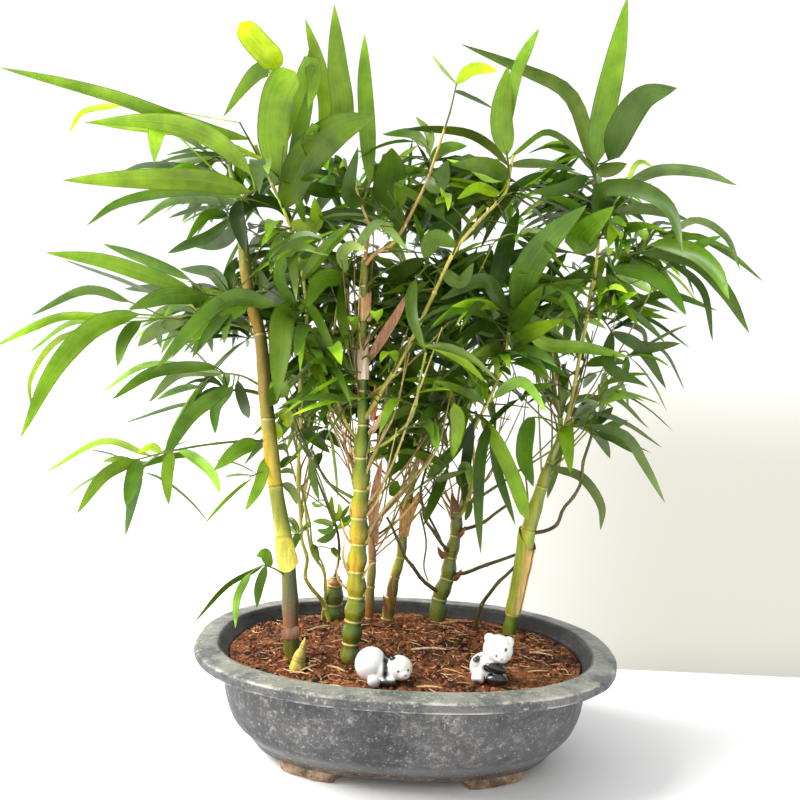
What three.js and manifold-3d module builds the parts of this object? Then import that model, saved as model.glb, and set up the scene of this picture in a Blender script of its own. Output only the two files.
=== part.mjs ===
// Buddha belly bamboo in an oval bonsai pot, with two panda figurines on the soil.
// Millimetres, Z up, X along the pot, Y to the back, origin on the ground below the pot's middle.

import * as THREE from 'three';
import { mergeVertices } from 'three/addons/utils/BufferGeometryUtils.js';
import Module from 'manifold-3d';

const wasm = await Module();
wasm.setup();

// ---------------------------------------------------------------- driving dimensions

const potHeight = 89.6;
const rimHalfLength = 170;
const widthInset = 42;          // how much shorter the half-width is than the half-length
const ovalPower = 2.3;          // 2 is an ellipse, larger is squarer
const potSegments = 40;
const soilEdge = 78.5;
const soilRise = 4.5;
const gap = 0.3;
const footAngle = 0.62;         // from the short axis to the middle of a foot, radians
const footSpan = 0.44;
const footSpanTop = 0.55;
const drainRadius = 6;
const drainX = 60;
const plantedDepth = 26;
const stationSpacing = 17;      // along canes and twigs

// ---------------------------------------------------------------- colours

const finish = {
  glaze: { color: 0x59616a, roughness: 0.55, metalness: 0 },
  soil: { color: 0x7d452c, roughness: 0.95, metalness: 0 },
  panda: { color: 0xf2f2ee, roughness: 0.2, metalness: 0 },
  culmYellow: { color: 0xc2a84a, roughness: 0.4, metalness: 0 },
  culmGreen: { color: 0x6f7d3a, roughness: 0.4, metalness: 0 },
  cane: { color: 0xa9a85a, roughness: 0.5, metalness: 0 },
  caneDark: { color: 0x4c4a30, roughness: 0.6, metalness: 0 },
  sheath: { color: 0xc79a68, roughness: 0.8, metalness: 0 },
  leaf: { color: 0x4f8a24, roughness: 0.45, metalness: 0 },
};

const group = new THREE.Group();
const built = [];

// ---------------------------------------------------------------- setting out

// Every stem and leaf is set out on the upright plane through the pot's length, as (u, v) in
// millimetres, and moved along the line from the viewpoint to its own depth behind that plane.
const viewpoint = new THREE.Vector3(-14, -729, 332);

function spot(u, v, depth) {
  const reach = 1 - depth / viewpoint.y;
  return new THREE.Vector3(
    viewpoint.x + (u - viewpoint.x) * reach,
    depth,
    viewpoint.z + (v - viewpoint.z) * reach,
  );
}

function spots(rows) {
  return rows.map(([u, v, depth]) => spot(u, v, depth));
}

// ---------------------------------------------------------------- solids

function toSolid(geometry) {
  const shape = geometry.clone();
  shape.deleteAttribute('normal');
  shape.deleteAttribute('uv');
  const welded = mergeVertices(shape, 1e-4);
  const vertProperties = Float32Array.from(welded.attributes.position.array);
  const triVerts = Uint32Array.from(welded.index.array);
  let solid = new wasm.Manifold(new wasm.Mesh({ numProp: 3, vertProperties, triVerts }));
  if (solid.volume() < 0) {
    for (let i = 0; i < triVerts.length; i += 3) {
      [triVerts[i], triVerts[i + 1]] = [triVerts[i + 1], triVerts[i]];
    }
    solid = new wasm.Manifold(new wasm.Mesh({ numProp: 3, vertProperties, triVerts }));
  }
  return solid;
}

function addPart(name, solid, look) {
  const mesh = solid.getMesh();
  const positions = new Float32Array(mesh.numVert * 3);
  for (let i = 0; i < mesh.numVert; i += 1) {
    for (let k = 0; k < 3; k += 1) {
      positions[3 * i + k] = mesh.vertProperties[mesh.numProp * i + k];
    }
  }
  const geometry = new THREE.BufferGeometry();
  geometry.setAttribute('position', new THREE.BufferAttribute(positions, 3));
  geometry.setIndex(new THREE.BufferAttribute(Uint32Array.from(mesh.triVerts), 1));
  geometry.computeVertexNormals();
  const part = new THREE.Mesh(geometry, new THREE.MeshStandardMaterial(finish[look]));
  part.name = name;
  group.add(part);
  built.push({ name, solid, box: solid.boundingBox() });
}

function boxesMeet(a, b) {
  return [0, 1, 2].every((k) => a.min[k] <= b.max[k] && b.min[k] <= a.max[k]);
}

// The volume that a solid shares with everything built so far.
function sharedVolume(solid, others = built) {
  const box = solid.boundingBox();
  let shared = 0;
  for (const other of others) {
    if (boxesMeet(box, other.box)) {
      shared += Math.max(0, solid.intersect(other.solid).volume());
    }
  }
  return shared;
}

function remap(geometry, place) {
  const positions = geometry.attributes.position;
  const point = new THREE.Vector3();
  for (let i = 0; i < positions.count; i += 1) {
    point.fromBufferAttribute(positions, i);
    const placed = place(point);
    positions.setXYZ(i, placed.x, placed.y, placed.z);
  }
  return geometry;
}

// Frames that follow a curve without twisting: a centre, two cross directions and a tangent.
function framesAlong(curve, fractions) {
  const frames = [];
  let side = null;
  for (const t of fractions) {
    const tangent = curve.getTangent(Math.min(Math.max(t, 0.0005), 0.9995)).normalize();
    if (side === null) {
      side = new THREE.Vector3(0, -1, 0);
      if (Math.abs(tangent.y) > 0.9) {
        side.set(1, 0, 0);
      }
    }
    side = side.clone().addScaledVector(tangent, -side.dot(tangent)).normalize();
    const across = new THREE.Vector3().crossVectors(tangent, side).normalize();
    frames.push({ centre: curve.getPoint(t), tangent, side, across });
  }
  return frames;
}

// A round stem along a curve. Each station is [fraction along the curve, radius].
function stem(points, stations, sides = 8) {
  const curve = new THREE.CatmullRomCurve3(points, false, 'centripetal');
  const frames = framesAlong(curve, stations.map((station) => station[0]));
  const rings = stations.length - 1;
  const tube = new THREE.CylinderGeometry(1, 1, rings, sides, rings);
  remap(tube, (point) => {
    const ring = Math.round(point.y + rings / 2);
    const { centre, side, across } = frames[ring];
    const radius = stations[ring][1];
    return centre.clone().addScaledVector(side, point.x * radius).addScaledVector(across, point.z * radius);
  });
  return toSolid(tube);
}

function evenStations(count, startRadius, endRadius) {
  return Array.from({ length: count }, (_, i) => {
    const t = i / (count - 1);
    return [t, startRadius + (endRadius - startRadius) * t];
  });
}

// A culm: rows are [u, v, depth, radius], one at each ring. Between two rings the culm narrows just
// above the lower ring and swells by `belly` in the lower half of the internode.
function culmStations(rows, belly, swell) {
  const stations = [];
  const last = rows.length - 1;
  rows.forEach((row, i) => {
    stations.push([i / last, row[3] * swell]);
    if (i < last) {
      const next = rows[i + 1][3];
      stations.push([(i + 0.1) / last, row[3] * 0.93]);
      stations.push([(i + 0.42) / last, (row[3] * 0.55 + next * 0.45) * (1 + belly)]);
      if (belly > 0.1 && i < 11) {
        stations.push([(i + 0.88) / last, next * 0.92]);
      }
    }
  });
  return stations;
}

// A leaf: a thin blade with a rib above and a keel below, broad near its lower third and pointed
// at both ends. Its upper and lower side are cut into the same triangles, so a twist keeps it whole.
function blade(points, width, lean, bands) {
  const curve = new THREE.CatmullRomCurve3(points, false, 'centripetal');
  const toEye = new THREE.Vector3();
  const places = [curve.getPoint(0)];
  for (let i = 1; i < bands; i += 1) {
    const t = i / bands;
    const centre = curve.getPoint(t);
    const tangent = curve.getTangent(t);
    toEye.copy(viewpoint).sub(centre).normalize();
    const flat = new THREE.Vector3().crossVectors(tangent, toEye).normalize();
    const deep = new THREE.Vector3().crossVectors(flat, tangent).normalize();
    const across = flat.clone().multiplyScalar(Math.cos(lean)).addScaledVector(deep, Math.sin(lean));
    const under = new THREE.Vector3().crossVectors(across, tangent).normalize();
    const half = 0.5 * width * bladeOutline(t);
    const thick = 0.9 * Math.sqrt(bladeOutline(t));
    for (const [sideways, below] of [[-half, 0.5 * thick], [0, 0], [half, 0.5 * thick], [0, thick]]) {
      places.push(centre.clone().addScaledVector(across, sideways).addScaledVector(under, below));
    }
  }
  places.push(curve.getPoint(1));
  const faces = [];
  const tip = places.length - 1;
  for (const [middle, turned] of [[1, false], [3, true]]) {
    const add = (a, b, c) => faces.push(...(turned ? [a, c, b] : [a, b, c]));
    add(0, 1 + middle, 1);
    add(0, 3, 1 + middle);
    for (let low = 1; low + 4 < tip; low += 4) {
      const high = low + 4;
      add(low, low + middle, high + middle);
      add(low, high + middle, high);
      add(low + 2, high + middle, low + middle);
      add(low + 2, high + 2, high + middle);
    }
    add(tip - 4, tip - 4 + middle, tip);
    add(tip - 4 + middle, tip - 2, tip);
  }
  const geometry = new THREE.BufferGeometry().setFromPoints(places);
  geometry.setIndex(faces);
  return toSolid(geometry);
}

function bladeOutline(t) {
  return Math.min(1, Math.pow(Math.sin(Math.PI * Math.pow(t, 0.72)), 0.62)) * (0.25 + 0.75 * Math.min(1, 5 * t));
}

// A dry sheath that wraps a stem: a ring-shaped sleeve whose upper edge runs up to a point.
function sleeve(points, innerRadius, topRadius, wall, point, sides = 8) {
  const curve = new THREE.CatmullRomCurve3(points, false, 'centripetal');
  const profile = [[0, 0], [1, 0], [1, 0.5], [1, 1], [0, 1], [0, 0.5], [0, 0]];
  const lathe = new THREE.LatheGeometry(profile.map(([x, y]) => new THREE.Vector2(2 + x, y)), sides);
  return toSolid(remap(lathe, (vertex) => {
    const radial = Math.hypot(vertex.x, vertex.z);
    const angle = Math.atan2(vertex.z, vertex.x);
    const rise = vertex.y * (1 - point * (0.5 - 0.5 * Math.cos(angle)));
    const [frame] = framesAlong(curve, [rise]);
    const outward = radial - 2;
    const radius = innerRadius + (topRadius - innerRadius) * rise * rise + outward * wall;
    return frame.centre.clone()
      .addScaledVector(frame.side, Math.cos(angle) * radius)
      .addScaledVector(frame.across, Math.sin(angle) * radius);
  }));
}

function ball(centre, radii, turn = [0, 0, 0], detail = [8, 6]) {
  const sphere = new THREE.SphereGeometry(1, detail[0], detail[1]);
  sphere.rotateX(Math.PI / 2);
  sphere.scale(radii[0], radii[1], radii[2]);
  sphere.rotateX(turn[0]);
  sphere.rotateY(turn[1]);
  sphere.rotateZ(turn[2]);
  sphere.translate(centre[0], centre[1], centre[2]);
  return toSolid(sphere);
}

function unite(solids) {
  return solids.reduce((whole, next) => whole.add(next));
}

// ---------------------------------------------------------------- pot

// Moves a turned shape, whose radius is the half-length, onto the pot's oval.
function ovalAt(radius, angle, height) {
  const halfWidth = radius > 100 ? radius - widthInset : radius * (100 - widthInset) / 100;
  const c = Math.cos(angle);
  const s = Math.sin(angle);
  return new THREE.Vector3(
    radius * Math.sign(c) * Math.pow(Math.abs(c), 2 / ovalPower),
    halfWidth * Math.sign(s) * Math.pow(Math.abs(s), 2 / ovalPower),
    height,
  );
}

function turnedOval(profile, heightAt = (x, y, height) => height) {
  const lathe = new THREE.LatheGeometry(profile.map(([x, y]) => new THREE.Vector2(x, y)), potSegments);
  return toSolid(remap(lathe, (point) => {
    const placed = ovalAt(Math.hypot(point.x, point.z), Math.atan2(point.z, point.x), point.y);
    placed.z = heightAt(placed.x, placed.y, placed.z);
    return placed;
  }));
}

const potOutside = [
  [0, 10], [114, 10], [115, 8], [121, 8], [127.4, 17.5], [138.1, 28], [144.6, 44],
  [147.5, 64.5], [148.8, 79.4], [168.8, 79.6], [rimHalfLength, 81], [rimHalfLength, 87], [168.8, 88],
];
const potInside = [
  [152.4, potHeight], [149.6, 86], [143.4, 79.5], [141.5, 65], [138, 44], [130, 30], [118, 20.5], [0, 19],
];

// A foot follows the oval of the foot ring, and narrows a little toward the ground.
function foot(angle) {
  const block = new THREE.BoxGeometry(1, 1, 1, 4, 1, 1);
  remap(block, (point) => {
    const top = point.z > 0;
    const radius = point.y > 0 ? (top ? 120.4 : 119) : (top ? 99 : 101);
    const height = top ? 12 : 0;
    return ovalAt(radius, angle + point.x * (top ? footSpanTop : footSpan), height);
  });
  return toSolid(block);
}

let pot = turnedOval([...potOutside, ...potInside]);
for (const middle of [Math.PI / 2, -Math.PI / 2]) {
  pot = pot.add(foot(middle - footAngle)).add(foot(middle + footAngle));
}
for (const side of [-1, 1]) {
  const drill = new THREE.CylinderGeometry(drainRadius, drainRadius, 40, 16);
  drill.rotateX(Math.PI / 2);
  drill.translate(side * drainX, 0, 12);
  pot = pot.subtract(toSolid(drill));
}
addPart('pot', pot, 'glaze');

// ---------------------------------------------------------------- culms

// The soil rises toward the middle and toward the back left.
function soilTop(x, y) {
  const mound = Math.exp(-(((x + 30) / 95) ** 2) - (((y - 15) / 75) ** 2));
  return soilEdge + soilRise * mound + 0.7 * Math.sin(x / 9 + y / 13) + 0.5 * Math.sin(y / 7 - x / 17);
}

// Rows are [u, v, depth, radius] at the rings, from the soil up.
const culms = {
  culm_tall_left: {
    look: 'culmYellow', belly: 0.02, swell: 1.05,
    rows: [
      [-92.6, 66, -32, 6.0], [-94.8, 92, -32, 6.3], [-99.6, 147, -30, 6.0], [-112.3, 211, -26, 5.9],
      [-120.6, 266, -22, 5.7], [-129.6, 334, -16, 4.9], [-139.8, 368, -12, 4.6], [-147.6, 419, -6, 4.2],
      [-153, 446, 0, 3.0], [-159, 468, 6, 1.8],
    ],
  },
  culm_bellied: {
    look: 'culmYellow', belly: 0.17, swell: 1.0,
    rows: [
      [-45.4, 66, -30, 7.0], [-45.2, 84.1, -30, 6.9], [-43.8, 103, -30, 7.0], [-42.4, 123, -30, 7.0],
      [-43.2, 144, -29, 6.9], [-42.4, 167, -28, 6.7], [-43.0, 188.5, -28, 6.6], [-42.5, 211.5, -27, 6.4],
      [-43.3, 238, -26, 6.0], [-43.0, 265, -25, 4.6], [-43.8, 293, -24, 3.9], [-47.0, 325, -24, 3.6],
      [-45.4, 352, -24, 3.2], [-46.4, 377, -23, 2.9], [-47.4, 399, -22, 2.4],
    ],
  },
  culm_stub: {
    look: 'culmGreen', belly: 0.12, swell: 0.97,
    rows: [[-59.6, 101, 78, 8.0], [-60.8, 116, 78, 8.3], [-60.6, 132, 78, 7.6], [-60.4, 139, 78, 4.6]],
  },
  culm_thin: {
    look: 'culmGreen', belly: 0.05, swell: 1.06,
    rows: [
      [-31.0, 106, 70, 3.6], [-30.9, 132, 70, 3.7], [-30.6, 154, 70, 3.6], [-32.4, 173, 69, 2.9],
    ],
  },
  culm_middle: {
    look: 'culmYellow', belly: 0.06, swell: 1.04,
    rows: [
      [-15.9, 106, 82, 5.4], [-13.6, 124, 82, 5.2], [-11.6, 141, 82, 4.7], [-7.6, 158, 80, 4.4],
      [-6.2, 178, 78, 4.0], [-3.0, 208, 76, 3.6], [2.5, 238, 72, 2.8], [9, 262, 68, 2.2], [15, 284, 64, 1.6],
    ],
  },
  culm_cut: {
    look: 'culmGreen', belly: 0.09, swell: 1.0,
    rows: [
      [25.4, 106, 84, 7.6], [26.0, 125, 84, 7.4], [31.6, 142, 84, 6.9], [33.4, 160, 84, 6.2],
      [36.6, 178, 83, 5.4], [36.8, 198, 82, 5.4],
    ],
  },
  culm_sheathed: {
    look: 'culmGreen', belly: 0.04, swell: 1.02,
    rows: [
      [84.6, 94, 56, 6.0], [86.8, 114.5, 56, 5.8], [90.8, 141, 55, 7.4], [93.6, 160, 54, 7.8],
      [96.2, 185, 54, 7.0], [104.8, 221, 52, 5.4], [110.2, 242, 51, 3.6], [116.6, 262, 50, 2.6],
      [117.6, 278, 50, 1.6],
    ],
  },
  shoot: {
    look: 'culmYellow', belly: 0.05, swell: 0.9,
    rows: [[-88.8, 58, -53, 3.6], [-87.4, 69, -53, 3.0], [-84.6, 79, -53, 1.5], [-83.0, 86.5, -53, 0.5]],
  },
};

const centrelines = {};

// A culm's rows with one more below, so that it stands in the soil.
function plantedRows(rows, depth) {
  const [u, v, y, radius] = rows[0];
  return [[u, v - depth, y, radius * 0.9], ...rows];
}

const sockets = [];

for (const [name, culm] of Object.entries(culms)) {
  const rows = plantedRows(culm.rows, name === 'shoot' ? 8 : plantedDepth);
  const points = spots(rows);
  const stations = culmStations(rows, culm.belly, culm.swell);
  culm.solid = stem(points, stations, 8);
  sockets.push(stem(points, rows.slice(0, 4).map((row, i) => [i / (rows.length - 1), row[3] * 1.3 + gap]), 8));
  centrelines[name] = { points, stations };
}

// The cut culm ends in a pointed bud.
const bud = stem(spots([[35.4, 192, 82], [33.8, 203, 82], [31.6, 213, 82]]), [[0, 4.2], [0.5, 3.5], [1, 0.6]], 8);
culms.culm_cut.solid = culms.culm_cut.solid.add(bud);

for (const [name, culm] of Object.entries(culms)) {
  addPart(name, culm.solid, culm.look);
}

// ---------------------------------------------------------------- canes and side branches

// Places along a stem as it is built, with straight runs from one station to the next, and how far
// each lies from (u, v) on the setting-out plane. The nearest one is returned.
function nearestPlace({ points, stations }, u, v) {
  const curve = new THREE.CatmullRomCurve3(points, false, 'centripetal');
  let best = null;
  for (let i = 1; i < stations.length; i += 1) {
    const low = curve.getPoint(stations[i - 1][0]);
    const high = curve.getPoint(stations[i][0]);
    for (let step = 0; step < 10; step += 1) {
      const part = (step + 0.5) / 10;
      const centre = low.clone().lerp(high, part);
      const reach = (centre.y - viewpoint.y) / -viewpoint.y;
      const du = viewpoint.x + (centre.x - viewpoint.x) / reach - u;
      const dv = viewpoint.z + (centre.z - viewpoint.z) / reach - v;
      const far = Math.hypot(du, dv);
      if (best === null || far < best.far) {
        const radius = stations[i - 1][1] + (stations[i][1] - stations[i - 1][1]) * part;
        best = { far, centre, radius, tangent: high.clone().sub(low).normalize() };
      }
    }
  }
  return best;
}

// The point beside an anchor, a gap away, where a stem set out from (u, v) begins. A stem that
// leaves at a slant stands off by as much more as its own end would lean into the anchor.
function surfacePoint(anchor, u, v, toward, stemRadius, standOff) {
  const { centre, radius, tangent } = nearestPlace(centrelines[anchor], u, v);
  const away = toward.clone().sub(centre);
  away.addScaledVector(tangent, -away.dot(tangent)).normalize();
  const edge = centre.clone().addScaledVector(away, radius);
  const leave = toward.clone().sub(edge).normalize().dot(away);
  const slant = stemRadius * Math.sqrt(Math.max(0, 1 - leave * leave));
  return edge.addScaledVector(away, slant + gap + standOff);
}

// Each cane is [name, anchor, start radius, end radius, look, rows of [u, v, depth]]. An anchor of
// null means that the cane stands in the soil.
const canes = [
  ['cane_slender_left', null, 1.9, 1.3, 'cane', [
    [-62, 95, 66], [-65, 105, 66], [-71, 119, 62], [-80, 129, 56], [-85, 138, 50], [-84, 153, 46], [-89, 168, 42],
    [-91, 190, 36], [-94, 214, 30], [-94.5, 236, 24], [-93, 260, 18], [-95.5, 284, 14], [-94, 312, 10],
    [-92, 345, 6], [-94.5, 370, 2], [-99, 392, 0], [-105, 412, -2], [-113, 432, -4], [-128, 462, -8],
    [-139, 485, -12],
  ]],
  ['cane_slender_middle', null, 1.7, 0.8, 'cane', [
    [-70, 94, 72], [-69, 110, 72], [-68, 124, 70], [-70, 143, 66], [-80, 157, 58], [-83, 168, 54], [-86, 185, 46],
    [-88, 206, 40], [-85, 228, 34], [-88, 250, 28], [-86, 280, 22], [-88, 310, 18], [-86, 338, 14],
  ]],
  ['cane_dark_middle', 'culm_stub', 1.4, 0.7, 'caneDark', [
    [-59, 139, 78], [-58, 156, 72], [-60, 176, 60], [-66, 190, 48], [-72, 204, 36], [-79, 220, 26],
    [-85, 235, 10], [-92, 251, 0], [-99, 268, -8], [-108, 288, -14],
  ]],
  ['branch_bellied_left', 'culm_bellied', 1.5, 0.8, 'culmGreen', [
    [-50, 202, -28], [-61, 211, -26], [-71, 218, -22], [-78, 230, -16], [-83, 242, -10],
  ]],
  ['branch_fan', 'culm_bellied', 1.4, 0.7, 'cane', [
    [-50, 248, -26], [-58, 268, -22], [-66, 290, -16], [-71, 315, -8], [-69, 350, 0], [-66, 378, 4],
    [-59, 400, 8],
  ]],
  ['branch_pale', 'culm_bellied', 1.5, 1.0, 'cane', [
    [-36, 242, -26], [-26, 250, -32], [-15, 259, -36], [-5, 271, -36], [-1, 284, -34], [1, 302, -30],
    [5, 326, -24],
  ]],
  ['cane_main', 'culm_bellied', 2.0, 1.1, 'cane', [
    [-42, 268, -25], [-34, 284, -36], [-27, 298, -38], [-20, 309, -38], [-7, 335, -36], [1, 354, -34],
    [12, 380, -32], [20, 400, -30], [27, 413, -28], [43, 434, -24], [55, 447, -20], [63, 458, -16],
    [65, 470, -14], [67, 486, -12],
  ]],
  ['branch_top_left', 'culm_bellied', 1.6, 0.9, 'sheath', [
    [-47.6, 400, -22], [-46, 413, -18], [-45, 424, -16], [-52, 441, -14], [-58, 458, -12],
  ]],
  ['branch_top_right', 'culm_bellied', 1.6, 1.0, 'sheath', [
    [-46.8, 394, -22], [-39, 404, -30], [-29, 409, -32], [-21.5, 418, -32], [-12, 437, -30], [-1, 462, -26],
    [5, 482, -22], [12, 507, -18],
  ]],
  ['branch_thin_culm', 'culm_thin', 1.7, 1.0, 'cane', [
    [-32.4, 172, 68], [-28.6, 185, 60], [-23, 195, 54], [-15, 205, 50], [-6, 214, 46], [2, 228, 42],
    [14, 236, 36],
  ]],
  ['branch_cut_low', 'culm_cut', 2.0, 1.1, 'caneDark', [
    [22, 130, 76], [11, 140, 66], [2.5, 151, 60], [-3, 157, 56], [-11, 173, 52], [-16.5, 184, 48],
    [-20, 190, 46],
  ]],
  ['branch_cut_high', 'culm_cut', 1.8, 1.0, 'caneDark', [
    [28, 163, 76], [24.5, 172, 70], [18, 181, 66], [11, 190, 62], [9, 200, 60], [6.5, 211, 58],
    [8, 224, 54], [13, 242, 50],
  ]],
  ['branch_cut_right', 'culm_cut', 1.9, 1.4, 'caneDark', [
    [38, 144, 80], [46, 147, 76], [58, 152.5, 72], [69, 157, 69], [79, 161, 66],
  ]],
  ['branch_cut_upper', 'culm_cut', 1.8, 1.3, 'caneDark', [
    [42, 181, 80], [50, 185.5, 76], [60, 190.5, 72], [68, 197.5, 69], [80, 207, 64],
  ]],
  ['cane_right_inner', 'culm_cut', 1.7, 1.4, 'cane', [
    [41, 190, 80], [45, 205, 70], [49, 236, 50], [46, 262, 36], [52, 277, 28], [59.5, 294, 22],
    [68, 320, 16], [71, 343, 12], [72, 364, 8],
  ]],
  ['cane_foot_right', null, 1.9, 1.4, 'caneDark', [
    [56, 101, 72], [61.5, 122, 66], [67.4, 131.5, 62], [74, 141, 59], [80, 147, 57],
  ]],
  ['branch_sheathed_right', 'culm_sheathed', 1.8, 1.2, 'caneDark', [
    [103, 181, 53], [111, 185.5, 48], [119, 191, 44], [123.5, 204, 40], [131, 214, 38], [136.5, 226, 36],
    [137.5, 243, 36], [142.5, 263, 38], [146, 282, 40],
  ]],
  ['cane_golden_right', 'culm_sheathed', 1.8, 1.2, 'cane', [
    [114, 252, 51], [121, 272, 46], [126, 300, 40], [129, 325, 34], [132, 347, 30], [135, 372, 26],
    [138, 398, 22], [139, 418, 20], [139, 440, 18], [136, 462, 16],
  ]],
];


// A cane that meets another solid is moved toward the back or the front by the least that frees it.
const trials = [0, 2, -2, 4, -4, 6, -6, 8, -8, 11, -11, 14, -14, 18, -18, 22, -22, 26, -26, 30, -30, 36, -36];

function shifted(points, amount) {
  return points.map((point, i) => {
    const hold = i === 0 ? 0 : Math.min(1, i / 2);
    return point.clone().setY(point.y + amount * hold);
  });
}

// Grows a stem from its anchor, or from the soil, at the first trial that meets nothing.
function growStem(name, anchor, startRadius, endRadius, rows, sides) {
  const flat = spots(rows);
  const length = flat.reduce((sum, point, i) => sum + (i > 0 ? point.distanceTo(flat[i - 1]) : 0), 0);
  const stations = evenStations(Math.max(4, Math.round(length / stationSpacing)), startRadius, endRadius);
  let met = [];
  for (const standOff of [0, 0.2, 0.4, 0.6]) {
    const start = anchor === null ? flat[0]
      : surfacePoint(anchor, rows[0][0], rows[0][1], flat[1], startRadius, standOff);
    for (const amount of trials) {
      const points = shifted([start, ...flat.slice(1)], amount);
      const solid = stem(points, stations, sides);
      if (sharedVolume(solid) < 0.001) {
        return { points, stations, solid };
      }
      if (met.length === 0) {
        met = built.filter((part) => sharedVolume(solid, [part]) > 0.001).map((part) => part.name);
      }
    }
  }
  throw new Error(`no room for ${name}, which meets ${met.join(', ')}`);
}

for (const [name, anchor, startRadius, endRadius, look, rows] of canes) {
  const grown = growStem(name, anchor, startRadius, endRadius, rows, 5);
  centrelines[name] = grown;
  addPart(name, grown.solid, look);
  if (anchor === null) {
    sockets.push(stem(grown.points.slice(0, 2), evenStations(2, startRadius + 2 * gap, startRadius + 2 * gap), 6));
  }
}

// ---------------------------------------------------------------- sheaths

const sheaths = [
  ['sheath_foot_left', 6.8, 7.7, 0.9, 0.35, [[-94.6, 90, -32], [-95.2, 97, -32], [-95.8, 104, -32]]],
  ['sheath_flare_left', 7.2, 9.8, 1.0, 0.3, [[-99.4, 144, -30], [-101.6, 156, -30], [-104, 170, -29]]],
  ['sheath_bellied_low', 4.8, 4.9, 0.8, 0.2, [[-45.2, 302, -24], [-46.6, 322, -24], [-46.2, 343, -24]]],
  ['sheath_bellied_high', 4.4, 4.6, 0.8, 0.2, [[-45.5, 349, -24], [-45.9, 362, -24], [-46.4, 375, -23]]],
  ['sheath_tan_middle', 5.2, 5.4, 1.2, 0.35, [[-6.3, 176, 78.4], [-4.6, 194, 77], [-2.4, 212, 75.6]]],
];
for (const [name, inner, top, wall, point, rows] of sheaths) {
  const solid = sleeve(spots(rows), inner + gap, top + gap, wall, point);
  const shared = sharedVolume(solid);
  if (shared > 0.005) {
    throw new Error(`${name} meets another solid by ${shared.toFixed(2)}`);
  }
  addPart(name, solid, 'sheath');
}

// The dry blade of a sheath, which leaves the bellied culm to the upper right.
const dryBlade = spots([[-40.4, 318, -25], [-29, 338, -30], [-20, 354, -32], [-11, 375, -34]]);
const dryShift = trials.find((amount) => sharedVolume(blade(shifted(dryBlade, amount), 7, 0, 5)) < 0.001);
addPart('sheath_dry_blade', blade(shifted(dryBlade, dryShift), 7, 0, 5), 'sheath');

// ---------------------------------------------------------------- soil and figurines

const soilProfile = [
  [0, 19 + gap], [117.4, 20.5 + gap], [129.6, 30 + gap], [137.6, 44], [141.5 - gap, 65],
  [142.9 - gap, 78], [122, 79], [98, 79], [72, 79], [42, 79], [0, 79],
];

let soil = turnedOval(soilProfile, (x, y, height) => (height > 77 ? soilTop(x, y) : height));
for (const socket of sockets) {
  soil = soil.subtract(socket);
}

// Soil that is cut free between a socket and the outside is dropped: the largest body is the soil.
soil = soil.decompose().reduce((most, next) => (next.volume() > most.volume() ? next : most));
addPart('soil', soil, 'soil');

const pandaWhite = 'panda';

// The lying panda: rump to the left, head to the right, low and facing the front.
function lyingPanda(z) {
  const x = -23;
  const y = -72;
  return unite([
    ball([x - 7, y + 2, z + 12.6], [11.4, 11, 12.2], [0, 0.1, 0.2], [12, 8]),
    ball([x + 3, y + 1, z + 9.5], [9, 9.6, 9.2], [0, 0.2, 0], [10, 6]),
    ball([x + 14, y - 3, z + 10.4], [8.3, 8.6, 8.2], [0, 0.15, -0.3], [12, 8]),
    ball([x + 18, y - 9, z + 8.6], [4.6, 4, 3.8], [0, 0, 0], [7, 5]),
    ball([x + 8.6, y - 4.5, z + 17.6], [2.8, 1.7, 2.8], [0, 0, 0], [7, 5]),
    ball([x + 15, y + 2.6, z + 17], [2.8, 1.7, 2.8], [0, 0, 0], [7, 5]),
    ball([x - 2.5, y - 9, z + 3.6], [5, 4.4, 4.4], [0, 0.3, 0], [7, 5]),
    ball([x + 9, y - 8, z + 3.4], [7.5, 4.2, 3.8], [0, 0, -0.3], [7, 5]),
    ball([x + 9, y + 8, z + 3.8], [7.5, 4.2, 4], [0, 0, 0.3], [7, 5]),
    ball([x - 6, y + 10, z + 4], [5, 4.4, 4.4], [0, 0.3, 0], [7, 5]),
  ]);
}

// The sitting panda: head tilted to the upper right, limbs held in front.
function sittingPanda(z) {
  const x = 61;
  const y = -60;
  return unite([
    ball([x - 2.5, y + 1, z + 10.5], [10.4, 9.4, 11], [0, 0.2, 0], [12, 8]),
    ball([x + 5, y - 3, z + 24.2], [11.2, 9.4, 9.6], [0, 0.45, 0], [12, 8]),
    ball([x + 6.8, y - 11, z + 21.4], [4.6, 3.6, 3.6], [0, 0.3, 0], [7, 5]),
    ball([x - 4.4, y - 1, z + 29.6], [3.2, 1.9, 3.2], [0, 0.4, 0], [7, 5]),
    ball([x + 12, y - 1, z + 33], [3.2, 1.9, 3.2], [0, 0.4, 0], [7, 5]),
    ball([x + 6, y - 9, z + 13.4], [8.6, 4, 3.8], [0, 0.25, -0.1], [7, 5]),
    ball([x + 7, y - 9.5, z + 4.8], [8.8, 4.8, 4.6], [0, 0, -0.2], [7, 5]),
    ball([x - 9, y - 5, z + 16], [3.4, 3.4, 6], [0.3, -0.2, 0], [7, 5]),
    ball([x - 7, y - 8, z + 4.6], [5, 5.6, 4.4], [0, 0, 0.3], [7, 5]),
  ]);
}

// Lowers a figurine until it would touch the soil, then lifts it by the gap.
function seat(make) {
  const others = built.filter((part) => part.name === 'soil');
  let low = 70;
  let high = 95;
  for (let i = 0; i < 12; i += 1) {
    const middle = (low + high) / 2;
    if (sharedVolume(make(middle), others) > 0) {
      low = middle;
    } else {
      high = middle;
    }
  }
  return make(high + gap);
}

addPart('panda_lying', seat(lyingPanda), pandaWhite);
addPart('panda_sitting', seat(sittingPanda), pandaWhite);

// ---------------------------------------------------------------- leaf sprays

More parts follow.
